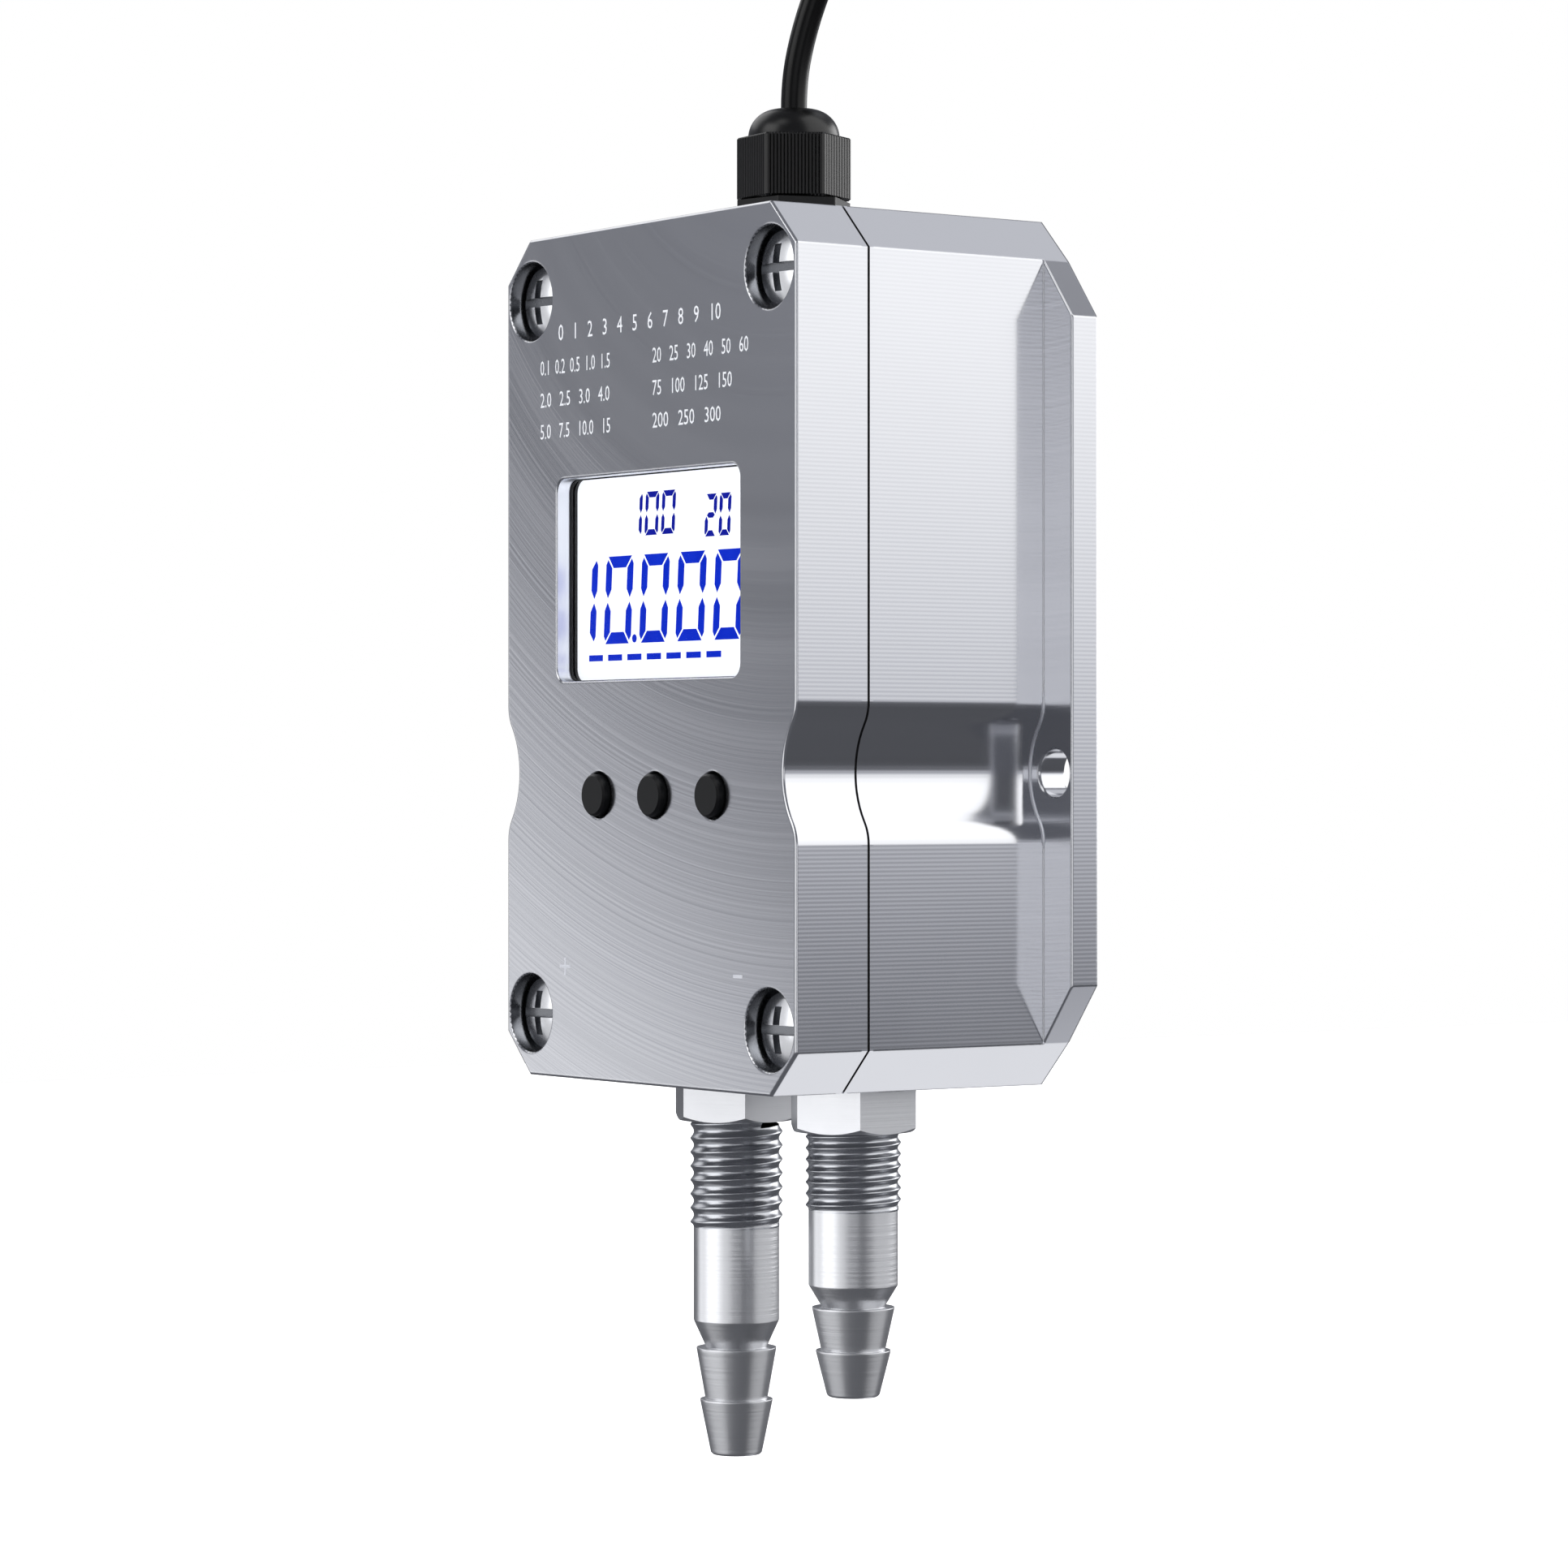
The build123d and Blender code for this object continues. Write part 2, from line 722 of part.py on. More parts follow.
# Dome nut: ribbed hexagon below a round dome that rolls in to the cable.
mouth_radius = cable_diameter / 2 + mouth_clearance
dome_crown = mouth_radius + gland_lip_radius
dome_foot = gland_dome_diameter / 2
face_width = gland_nut_width * tan(radians(30))
rib_pitch = face_width / ribs_per_face
grooves = [(0, (i - (ribs_per_face - 2) / 2) * rib_pitch) for i in range(ribs_per_face - 1)]
with BuildPart() as gland_nut:
    with BuildSketch(Plane.XY.offset(dome_nut_bottom)) as nut_sketch:
        with Locations((0, axis_y)):
            hexagon(gland_nut_width, gland_nut_turn)
        fillet(nut_sketch.vertices(), gland_nut_corner)
        with Locations((0, axis_y)):
            with PolarLocations(gland_nut_width / 2, 6, start_angle=gland_nut_turn):
                with Locations(*grooves):
                    Rectangle(
                        rib_depth * 2**0.5,
                        rib_depth * 2**0.5,
                        rotation=45,
                        mode=Mode.SUBTRACT,
                    )
    extrude(amount=gland_nut_height)
    with BuildSketch(Plane.XZ.offset(-axis_y)):
        with BuildLine():
            Line((0, dome_nut_top), (dome_foot, dome_nut_top))
            EllipticalCenterArc(
                (dome_crown, dome_nut_top),
                dome_foot - dome_crown,
                gland_dome_height,
                start_angle=0,
                arc_size=90,
            )
            Line((dome_crown, mouth_z), (0, mouth_z))
            Line((0, mouth_z), (0, dome_nut_top))
        make_face()
    revolve(axis=Axis((0, axis_y, 0), (0, 0, 1)))
    with BuildSketch(Plane.XY.offset(dome_nut_bottom)):
        with Locations((0, axis_y)):
            Circle(gland_neck_diameter / 2)
    extrude(amount=neck_top + gland_nut_gap - dome_nut_bottom, mode=Mode.SUBTRACT)
    with BuildSketch(Plane.XY.offset(neck_top)):
        with Locations((0, axis_y)):
            Circle(gland_seat_bore / 2)
    extrude(amount=gland_seal_proud + gland_nut_gap, mode=Mode.SUBTRACT)
    with BuildSketch(Plane.XY.offset(neck_top)):
        with Locations((0, axis_y)):
            Circle(mouth_radius)
    extrude(amount=mouth_z - neck_top, mode=Mode.SUBTRACT)
    mouth_edge = gland_nut.edges().filter_by(GeomType.CIRCLE).filter_by(
        lambda e: abs(e.radius - mouth_radius) < 0.01
    )
    fillet(mouth_edge.sort_by(Axis.Z)[-1], gland_lip_radius - fit_gap)
save(gland_nut, "gland_nut")

# Cable inside the housing, its four cores and the terminal block they enter.
cable_end = cavity_top - cable_tail_inside
terminal_top = cable_end - core_fan_height
with BuildPart() as cable_inside:
    with BuildSketch(Plane.XY.offset(cable_end)):
        with Locations((0, axis_y)):
            Circle(cable_diameter / 2)
    extrude(amount=mouth_z - cable_end)
save(cable_inside, "cable_inside")

core_starts = [(x * core_step, y * core_step) for x in (-1, 1) for y in (-1, 1)]
terminal_places = [step * terminal_pitch for step in (-1.5, -0.5, 0.5, 1.5)]
with BuildPart() as cable_cores:
    for (x, y), end_x in zip(core_starts, terminal_places):
        with BuildSketch(Plane.XY.offset(cable_end)):
            with Locations((x, axis_y + y)):
                Circle(core_diameter / 2)
        shift = end_x - x
        extrude(amount=hypot(shift, core_fan_height), dir=(shift, 0, -core_fan_height))
save(cable_cores, "cable_cores")

with BuildPart() as terminal_block:
    with BuildSketch(front(main_board_front)):
        with Locations((0, terminal_top - terminal_height / 2)):
            Rectangle(4 * terminal_pitch, terminal_height)
    extrude(amount=terminal_depth)
    chamfer(terminal_block.faces().sort_by(Axis.Y)[0].edges(), edge_radius)
    with BuildSketch(front(main_board_front - terminal_depth)):
        with Locations(*[(x, terminal_top - terminal_height / 2) for x in terminal_places]):
            Circle(terminal_screw_diameter / 2)
    extrude(amount=-terminal_depth / 3, mode=Mode.SUBTRACT)
save(terminal_block, "terminal_block")

# Flat ribbon between the two boards, with a header at each end.
ribbon_z = middle + ribbon_above_middle
header_places = (
    ("display_header", board_back + header_depth),
    ("main_header", main_board_front),
)
for name, depth in header_places:
    with BuildPart() as header:
        with BuildSketch(front(depth)):
            with Locations((0, ribbon_z)):
                Rectangle(ribbon_width + 2 * edge_radius, header_height)
        extrude(amount=header_depth)
    save(header, name)
ribbon_front = board_back + header_depth
ribbon_back = main_board_front - header_depth
span = ribbon_back - ribbon_front
ribbon_start = (0, ribbon_front - total_depth, ribbon_z)
with BuildPart() as ribbon_cable:
    with BuildLine() as ribbon_path:
        FilletPolyline(
            ribbon_start,
            (0, ribbon_start[1] + span / 4, ribbon_z),
            (0, ribbon_start[1] + span / 2, ribbon_z - ribbon_drop),
            (0, ribbon_start[1] + 3 * span / 4, ribbon_z),
            (0, ribbon_start[1] + span, ribbon_z),
            radius=ribbon_drop / 3,
        )
    with BuildSketch(Plane(origin=ribbon_start, x_dir=(1, 0, 0), z_dir=(0, 1, 0))):
        Rectangle(ribbon_width, ribbon_thickness)
    sweep(path=ribbon_path.wires()[0])
save(ribbon_cable, "ribbon_cable")

# Cable outside: up out of the gland, back to the wall and into its coil.
row_count = coil_rows
bundle_depth = row_count * cable_diameter
bundle_half = coil_wide_row * cable_diameter / 2
narrow_half = bundle_half - cable_diameter / 2
coil_front = -tie_thickness - bundle_depth
entry_y = coil_front + cable_diameter / 2
entry_radius = coil_radius + cable_diameter
cable_route = [
    (0.0, axis_y, mouth_z),
    (0.0, axis_y, 100.9),
    (0.5, -21.2, 106.2),
    (1.9, -19.75, 113.5),
    (4.3, -17.35, 121.5),
    (7.15, -14.45, 129.0),
    (9.6, -11.95, 136.5),
    (10.9, entry_y, 144.0),
    (10.9, entry_y, coil_centre_z),
]
coil_centre_x = cable_route[-1][0] - entry_radius
points = [Vector(*point) for point in cable_route]
radii = []
for before, corner, after in zip(points, points[1:], points[2:]):
    turn = radians((corner - before).get_angle(after - corner))
    shorter = min((corner - before).length, (after - corner).length)
    radii.append(0.45 * shorter / tan(turn / 2))
with BuildPart() as cable:
    with BuildLine() as cable_path:
        FilletPolyline(*cable_route, radius=radii)
    with BuildSketch(Plane(cable_route[0], z_dir=points[1] - points[0])):
        Circle(cable_diameter / 2)
    sweep(path=cable_path.wires()[0])
save(cable, "cable")
lead_length = cable_path.wires()[0].length
section = pi * cable_diameter**2 / 4
print("bend radii", [round(radius, 1) for radius in radii])
print("lead length", round(lead_length, 1), "volume", round(cable.part.volume, 1))
print("section times length", round(section * lead_length, 1))
print("coil length", round(2 * pi * coil_radius * coil_turns, 1))


def bundle_profile(grow):
    """Section of the bundle of turns, as radius and distance from the wall."""
    wide = bundle_half + grow
    narrow = narrow_half + grow
    near = tie_thickness - grow
    far = tie_thickness + bundle_depth + grow
    return [
        (-narrow, near),
        (narrow, near),
        (wide, near + (far - near) / 3),
        (wide, near + 2 * (far - near) / 3),
        (narrow, far),
        (-narrow, far),
        (-wide, near + 2 * (far - near) / 3),
        (-wide, near + (far - near) / 3),
    ]


def coil_plane(angle):
    """Plane through the coil's axis: local x is radial, local y is off the wall."""
    radial = Vector(cos(radians(angle)), 0, sin(radians(angle)))
    return Plane(
        origin=(coil_centre_x, 0, coil_centre_z),
        x_dir=radial,
        z_dir=radial.cross(Vector(0, -1, 0)),
    )


coil_axis = Axis((coil_centre_x, 0, coil_centre_z), (0, -1, 0))
with BuildPart() as cable_coil:
    with BuildSketch(coil_plane(0)):
        with Locations((coil_radius, 0)):
            Polygon(*bundle_profile(0), align=None)
    revolve(axis=coil_axis)
save(cable_coil, "cable_coil")

tie_arc = tie_width / coil_radius * 180 / pi
with BuildPart() as coil_tie:
    with BuildSketch(coil_plane(tie_angle)):
        with Locations((coil_radius, 0)):
            Polygon(*bundle_profile(tie_thickness), align=None)
            Polygon(*bundle_profile(0), align=None, mode=Mode.SUBTRACT)
    revolve(axis=coil_axis, revolution_arc=tie_arc)
save(coil_tie, "coil_tie")

# Bare ends of the four cores, lying inside the coil against the wall.
last_turn_radius = coil_radius - cable_diameter
wire_y = -tie_thickness - cable_diameter / 2
wire_axis = Axis(
    (coil_centre_x + last_turn_radius - wire_bend_radius, 0, coil_centre_z), (0, -1, 0)
)
with BuildPart() as cable_wires:
    for (x, y), angle in zip(core_starts, wire_angles):
        with BuildSketch(Plane.XY.offset(coil_centre_z)):
            with Locations((coil_centre_x + last_turn_radius + x, wire_y + y)):
                RegularPolygon(core_diameter / 2, 6)
        revolve(axis=wire_axis, revolution_arc=angle)
save(cable_wires, "cable_wires")
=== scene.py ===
# %% [markdown]
# This notebook dresses a wall-mounted differential pressure transmitter.
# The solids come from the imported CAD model, which is the frame for everything here.
# Nothing in the frame is moved: the cells below add materials, prints, threads and the lead.

# %% Load the frame
import json
from math import atan2, cos, degrees, hypot, pi, radians, sin, tan

import bmesh
import bpy
from mathutils import Matrix, Vector


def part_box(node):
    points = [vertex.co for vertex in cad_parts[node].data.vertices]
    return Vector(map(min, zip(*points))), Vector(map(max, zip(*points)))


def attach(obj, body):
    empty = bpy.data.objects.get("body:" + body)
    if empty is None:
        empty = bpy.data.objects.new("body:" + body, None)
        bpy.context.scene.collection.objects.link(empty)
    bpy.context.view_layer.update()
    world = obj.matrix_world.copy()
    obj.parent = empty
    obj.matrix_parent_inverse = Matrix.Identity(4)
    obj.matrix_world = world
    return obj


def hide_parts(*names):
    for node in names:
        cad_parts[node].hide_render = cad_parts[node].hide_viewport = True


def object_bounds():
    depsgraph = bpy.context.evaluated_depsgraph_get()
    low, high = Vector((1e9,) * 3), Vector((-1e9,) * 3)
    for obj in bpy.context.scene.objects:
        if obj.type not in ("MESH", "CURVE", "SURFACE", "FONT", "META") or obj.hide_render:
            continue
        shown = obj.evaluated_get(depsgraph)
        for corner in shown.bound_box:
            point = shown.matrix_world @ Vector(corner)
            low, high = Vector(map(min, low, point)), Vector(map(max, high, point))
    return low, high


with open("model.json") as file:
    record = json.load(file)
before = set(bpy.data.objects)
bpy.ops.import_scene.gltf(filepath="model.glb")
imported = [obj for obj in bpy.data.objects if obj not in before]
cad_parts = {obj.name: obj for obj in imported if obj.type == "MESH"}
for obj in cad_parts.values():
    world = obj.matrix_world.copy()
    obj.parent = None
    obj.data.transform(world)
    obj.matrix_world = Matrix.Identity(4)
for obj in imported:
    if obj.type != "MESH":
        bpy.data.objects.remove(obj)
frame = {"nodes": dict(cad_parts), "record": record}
cad_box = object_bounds()
nodes = frame["nodes"]
MM = 0.001
print("CAD box in mm", [[round(c / MM, 1) for c in corner] for corner in cad_box])

# %% [markdown]
# Every later place is read from the frame, so the pieces sit on the solids they belong to.
# The front face looks along -Y and the wall is at y = 0.

# %% Read the places that later cells need
cover_low, cover_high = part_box("front_cover")
front_y = cover_low.y
body_middle = (cover_low.z + cover_high.z) / 2
print("front face y", round(front_y / MM, 2), "cover middle z", round(body_middle / MM, 2))

# %% [markdown]
# The photograph was taken with a long lens from the front right, level with the middle.
# The view could be set by eye, but a camera fit to the housing's corners gave the place and
# the focal length used here. A long lens keeps the upright edges parallel without any shift.
# The Standard view transform shows the colours just as the shaders give them.

# %% Camera at the photograph's viewing angle
camera_place = Vector((0.5960, -0.4404, -0.0005))
camera_aim = Vector((-0.8194, 0.5732, -0.0015))
camera_data = bpy.data.cameras.new("camera")
camera_data.sensor_width = 36.0
camera_data.lens = 113.25
camera = bpy.data.objects.new("camera", camera_data)
camera.location = camera_place
camera.rotation_euler = camera_aim.to_track_quat("-Z", "Y").to_euler()
bpy.context.scene.collection.objects.link(camera)
bpy.context.scene.camera = camera
bpy.context.scene.view_settings.view_transform = "Standard"
print("camera azimuth", round(degrees(atan2(-camera_aim.x, camera_aim.y)), 2))

# %% [markdown]
# The lead is a round four-core cable, 3.9 mm across and 1.5 m long.
# It rises from the gland, leans back to the wall and is wound into a put-away coil.
# One smooth NURBS spline follows the same points as the CAD route.

# %% Route of the lead from the gland to the coil
lead_diameter = 3.9
lead_route = [
    (0.0, -21.7, 97.9),
    (0.0, -21.7, 100.9),
    (0.5, -21.2, 106.2),
    (1.9, -19.75, 113.5),
    (4.3, -17.35, 121.5),
    (7.15, -14.45, 129.0),
    (9.6, -11.95, 136.5),
    (10.9, -10.65, 144.0),
    (10.9, -10.65, 152.0),
]
coil_centre = Vector((-16.0, 0.0, 152.0))
coil_radius = 23.0
print("lead route:", len(lead_route), "points, then a coil of", coil_radius, "mm radius")

# %% [markdown]
# The coil holds ten turns in three rows, one diameter apart: three, four and three turns.
# Each turn keeps its place and then steps to the next one within a short stretch.
# Rows step at different angles, so no turn passes through another.

# %% Points of the coil, worked out turn by turn
coil_steps = 24
step_window = 30.0
first_window = 30.0
row_depths = (-10.65, -6.75, -2.85)
coil_places = [(1.0, 0), (0.0, 0), (-1.0, 0)]
coil_places += [(-1.5, 1), (-0.5, 1), (0.5, 1), (1.5, 1)]
coil_places += [(1.0, 2), (0.0, 2), (-1.0, 2)]


def coil_place(angle):
    """Radius and depth of the turn at an angle counted on from the coil's start."""
    turn = min(int(angle // 360.0), len(coil_places) - 1)
    offset, row = coil_places[turn]
    share = 0.0
    next_offset, next_row = offset, row
    if turn + 1 < len(coil_places):
        next_offset, next_row = coil_places[turn + 1]
        window = first_window + step_window * (4 - row - next_row)
        share = min(max((angle % 360.0 - window) / step_window, 0.0), 1.0)
    share = share * share * (3.0 - 2.0 * share)
    depth = row_depths[row] + share * (row_depths[next_row] - row_depths[row])
    return coil_radius + lead_diameter * (offset + share * (next_offset - offset)), depth


def coil_point(angle, grow=1.0):
    """A point of the coil in millimetres; grow makes up for the corners a spline cuts."""
    radius, depth = coil_place(angle)
    turned = radians(angle)
    across = Vector((cos(turned), 0.0, sin(turned))) * radius * grow
    return Vector((coil_centre.x + across.x, depth, coil_centre.z + across.z))


coil_angles = [(step + 0.5) * 360.0 / coil_steps for step in range(coil_steps * len(coil_places))]
coil_points = [coil_point(angle, 1.0 / cos(pi / coil_steps)) for angle in coil_angles]
coil_points.append(coil_point(360.0 * len(coil_places)))
lead_points = [Vector(point) for point in lead_route] + coil_points
print("lead points", len(lead_points), "last", [round(c, 2) for c in lead_points[-1]])

# %% [markdown]
# The lead's jacket is drawn PVC, one smooth tube of even width.
# It could be a swept mesh, but a NURBS curve with a round bevel stays smooth in every bend
# and keeps the centre line from which its length is measured.
# Each point holds the real radius, so Blender also knows how far the tube reaches.

# %% Draw the lead as one NURBS tube
lead_curve = bpy.data.curves.new("lead", "CURVE")
lead_curve.dimensions = "3D"
spline = lead_curve.splines.new("NURBS")
spline.points.add(len(lead_points) - 1)
for place, point in zip(spline.points, lead_points):
    place.co = (point.x * MM, point.y * MM, point.z * MM, 1.0)
    place.radius = lead_diameter / 2 * MM
spline.order_u = 3
spline.use_endpoint_u = True
lead_curve.resolution_u = 4
lead_curve.bevel_depth = 1.0  # each point holds its radius in metres
lead_curve.bevel_resolution = 6
lead_curve.use_fill_caps = True
lead = bpy.data.objects.new("lead", lead_curve)
bpy.context.scene.collection.objects.link(lead)
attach(lead, "housing")
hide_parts("cable", "cable_coil")
print("lead drawn through", len(spline.points), "points,", lead_diameter, "mm across")

# %% [markdown]
# Colours are written as the sRGB hex values that a colour picker shows.
# Blender's shaders work with linear light, so one function converts them.
# Another adds a node with its settings and links, so a material reads as a list of its nodes.
# Patterns are scaled in millimetres, so that their sizes can be checked against the real ones.

# %% Colour and node helpers
def linear(code):
    """Linear RGBA of an sRGB hex colour such as #8A8C8F."""
    channels = [int(code[place:place + 2], 16) / 255 for place in (1, 3, 5)]
    return (
        *[c / 12.92 if c <= 0.04045 else ((c + 0.055) / 1.055) ** 2.4 for c in channels],
        1.0,
    )


def add(tree, kind, inputs=None, **settings):
    """Adds a node with its settings; an input is a value, a socket or a node's first output."""
    node = tree.nodes.new(kind)
    for name, value in settings.items():
        setattr(node, name, value)
    for name, value in (inputs or {}).items():
        if isinstance(value, bpy.types.Node):
            value = value.outputs[0]
        if isinstance(value, bpy.types.NodeSocket):
            tree.links.new(value, node.inputs[name])
        else:
            node.inputs[name].default_value = value
    return node


def new_material(name, colour, metallic, roughness, **sockets):
    """A material with one principled shader; returns it with its tree and shader."""
    material = bpy.data.materials.new(name)
    material.use_nodes = True
    tree = material.node_tree
    tree.nodes.clear()
    finish = {"Base Color": linear(colour), "Metallic": metallic, "Roughness": roughness}
    shader = add(tree, "ShaderNodeBsdfPrincipled", finish)
    for socket, value in sockets.items():
        shader.inputs[socket.replace("_", " ")].default_value = value
    add(tree, "ShaderNodeOutputMaterial", {"Surface": shader.outputs["BSDF"]})
    return material, tree, shader


def millimetres(tree):
    """The place on the object in millimetres, which patterns are scaled from."""
    place = add(tree, "ShaderNodeTexCoord").outputs["Object"]
    return add(tree, "ShaderNodeVectorMath", {0: place, "Scale": 1.0 / MM}, operation="SCALE")


def surface_marks(tree, shader, pattern, low, high, depth_mm=0.0):
    """A pattern of 0..1 sets the roughness from low to high and stands up by a real depth."""
    rough = add(tree, "ShaderNodeMapRange", {"Value": pattern, "To Min": low, "To Max": high})
    tree.links.new(rough.outputs["Result"], shader.inputs["Roughness"])
    if depth_mm:
        relief = add(tree, "ShaderNodeBump", {"Height": pattern, "Distance": depth_mm * MM})
        tree.links.new(relief.outputs["Normal"], shader.inputs["Normal"])


print("aluminium grey #D6D7DB is", [round(c, 3) for c in linear("#D6D7DB")], "in linear light")

# %% [markdown]
# The housing is milled aluminium, left bare with the cutter's marks.
# The front was faced with a wide cutter, whose path leaves arcs about half a millimetre apart.
# The sides were milled in level passes, 0.45 mm apart, so their lines run front to back.
# A bare metal gets its colour from what it mirrors, so the marks are mostly bump.
# They could be cut into the mesh, but noise along the distance from one far point gives the
# arcs, and a sine wave along the height gives the passes, without a single extra face.

# %% Milled aluminium: the cutter's marks
arc_centre = (36.0, 0.0, 125.0)
arc_pitch = 0.8  # the real arcs are 0.5 mm apart, too fine to show at this distance
sweep_pitch = 7.0  # the width of the duller and brighter sweeps among the arcs
pass_pitch = 0.6  # the real passes are 0.45 mm apart
milled, tree, shader = new_material("milled_aluminium", "#D6D7DB", 1.0, 0.2)
place = millimetres(tree)
place_parts = add(tree, "ShaderNodeSeparateXYZ", {0: place})
level = add(tree, "ShaderNodeVectorMath", {0: place, 1: (1.0, 0.0, 1.0)}, operation="MULTIPLY")
away = add(tree, "ShaderNodeVectorMath", {0: level, 1: arc_centre}, operation="DISTANCE")
arcs, sweeps = [
    add(
        tree,
        "ShaderNodeTexNoise",
        {"W": away.outputs["Value"], "Scale": 1.0 / pitch, "Detail": detail, "Roughness": rough},
        noise_dimensions="1D",
    )
    for pitch, detail, rough in ((arc_pitch, 4.0, 0.6), (sweep_pitch, 2.0, 0.5))
]
waves_per_mm = 2 * pi / pass_pitch
height = place_parts.outputs["Z"]
wave = add(tree, "ShaderNodeMath", {0: height, 1: waves_per_mm}, operation="MULTIPLY")
wave = add(tree, "ShaderNodeMath", {0: wave}, operation="SINE")
passes = add(tree, "ShaderNodeMath", {0: wave, 1: 0.5, 2: 0.5}, operation="MULTIPLY_ADD")
print("milled aluminium: passes", pass_pitch, "mm on the sides, arcs", arc_pitch, "mm in front")

# %% [markdown]
# Each face shows only the marks of its own cut, so the marks are chosen by the way it faces.
# A file was drawn along the housing's edges, and each stroke catches a thin line of light.
# Those edges could be bevelled in the mesh, but the solids stay as packed, so the Bevel node
# rounds the shading only. At the seam of cover and housing they stay sharp and the gap dark.

# %% Milled aluminium: filed edges and relief
edge_radius, seam_reach = 0.4, 1.0
side_relief, front_relief, relief_depth = 0.28, 1.5, 0.005
geometry = add(tree, "ShaderNodeNewGeometry")
facing = add(tree, "ShaderNodeSeparateXYZ", {0: geometry.outputs["True Normal"]})
facing_masks = []
for axis, least in (("X", 0.95), ("Y", 0.9)):
    turned_to = add(tree, "ShaderNodeMath", {0: facing.outputs[axis]}, operation="ABSOLUTE")
    turned_to = add(tree, "ShaderNodeMath", {0: turned_to, 1: least}, operation="GREATER_THAN")
    facing_masks.append(turned_to)
is_side, is_front = facing_masks
side_share = add(tree, "ShaderNodeMath", {0: is_side, 1: side_relief}, operation="MULTIPLY")
front_share = add(tree, "ShaderNodeMath", {0: is_front, 1: front_relief}, operation="MULTIPLY")
front_marks = add(tree, "ShaderNodeMath", {0: arcs, 1: front_share}, operation="MULTIPLY")
marks = {0: passes, 1: side_share, 2: front_marks}
marks = add(tree, "ShaderNodeMath", marks, operation="MULTIPLY_ADD")
from_seam = {0: place_parts.outputs["Y"], 1: cover_high.y / MM}
from_seam = add(tree, "ShaderNodeMath", from_seam, operation="SUBTRACT")
from_seam = add(tree, "ShaderNodeMath", {0: from_seam}, operation="ABSOLUTE")
off_seam = add(tree, "ShaderNodeMath", {0: from_seam, 1: seam_reach}, operation="GREATER_THAN")
stroke = add(tree, "ShaderNodeMath", {0: off_seam, 1: edge_radius * MM}, operation="MULTIPLY")
soft_edge = add(tree, "ShaderNodeBevel", {"Radius": stroke}, samples=8)
relief = {"Height": marks, "Distance": relief_depth * MM, "Normal": soft_edge}
relief = add(tree, "ShaderNodeBump", relief)
tree.links.new(relief.outputs["Normal"], shader.inputs["Normal"])
print("filed edges", edge_radius, "mm, none within", seam_reach, "mm of the seam")

# %% [markdown]
# The arcs also change the gloss of the front and, a very little, its tone.
# The other faces only carry broad duller patches, as bare aluminium gets from handling.

# %% Milled aluminium: gloss and tone
patches = add(tree, "ShaderNodeTexNoise", {"Vector": place, "Scale": 0.06, "Detail": 3.0})
sweep_gloss = {"Value": sweeps, "To Min": 0.13, "To Max": 0.19}
sweep_gloss = add(tree, "ShaderNodeMapRange", sweep_gloss)
front_gloss = add(tree, "ShaderNodeMath", {0: sweep_gloss, 1: is_front}, operation="MULTIPLY")
patch_gloss = {"Value": patches, "To Min": 0.12, "To Max": 0.16}
patch_gloss = add(tree, "ShaderNodeMapRange", patch_gloss)
gloss = add(tree, "ShaderNodeMath", {0: front_gloss, 1: patch_gloss}, operation="MAXIMUM")
tree.links.new(gloss.outputs[0], shader.inputs["Roughness"])
stained = add(tree, "ShaderNodeMath", {0: arcs, 1: is_front}, operation="MULTIPLY")
tone = {"Factor": stained, 6: linear("#D4D5D9"), 7: linear("#DCDDE1")}
tone = add(tree, "ShaderNodeMix", tone, data_type="RGBA")
tree.links.new(tone.outputs[2], shader.inputs["Base Color"])
print("milled aluminium has", len(tree.nodes), "nodes")

# %% [markdown]
# Inside the window the cutter leaves the aluminium duller than on the open faces.
# A polished wall would mirror the blue digits, and a duller one scatters the display's light
# into an even pale rim, so this is a material of its own. Its colour, paler and bluer than the
# housing's metal, is painted light: the display's glow laid into the colour.

# %% Bored aluminium inside the window, with the display's glow painted in
# Paler and bluer than the housing's aluminium: painted glow of the display.
bored_painted_light, tree, shader = new_material("bored_aluminium_painted_light", "#F4F6FC", 1.0, 0.4)
chatter = add(tree, "ShaderNodeTexNoise", {"Vector": millimetres(tree), "Scale": 1.5})
surface_marks(tree, shader, chatter, 0.38, 0.42, 0.002)
print("made", bored_painted_light.name)

# %% [markdown]
# Each cover screw sits at the bottom of a deep counterbore.
# Little light gets in, so the metal there is painted a darker grey: painted shade of the pockets.
# The slots in the screw heads get the same painted shade, as they are recesses too.

# %% Counterbored aluminium round the screw heads, painted darker as shade
# Darker grey than the housing's aluminium: painted shade in the counterbores and slots.
counterbored_painted_shade, tree, shader = new_material("counterbored_aluminium_painted_shade", "#8A8C90", 1.0, 0.26)
smudges = add(tree, "ShaderNodeTexNoise", {"Vector": millimetres(tree), "Scale": 2.0})
surface_marks(tree, shader, smudges, 0.22, 0.3)
print("made", counterbored_painted_shade.name)

# %% [markdown]
# The hose fittings and nuts are stainless steel bar, turned on a lathe and polished.
# Turning leaves fine rings round the axis, which noise along the height gives as bump.
# The threads are rolled, not cut, so they get a smoother steel; its darker colour is painted
# shade of the thread grooves.

# %% Turned and rolled stainless steel
ring_pitch = 0.6  # the real rings are finer, too fine to show in the render


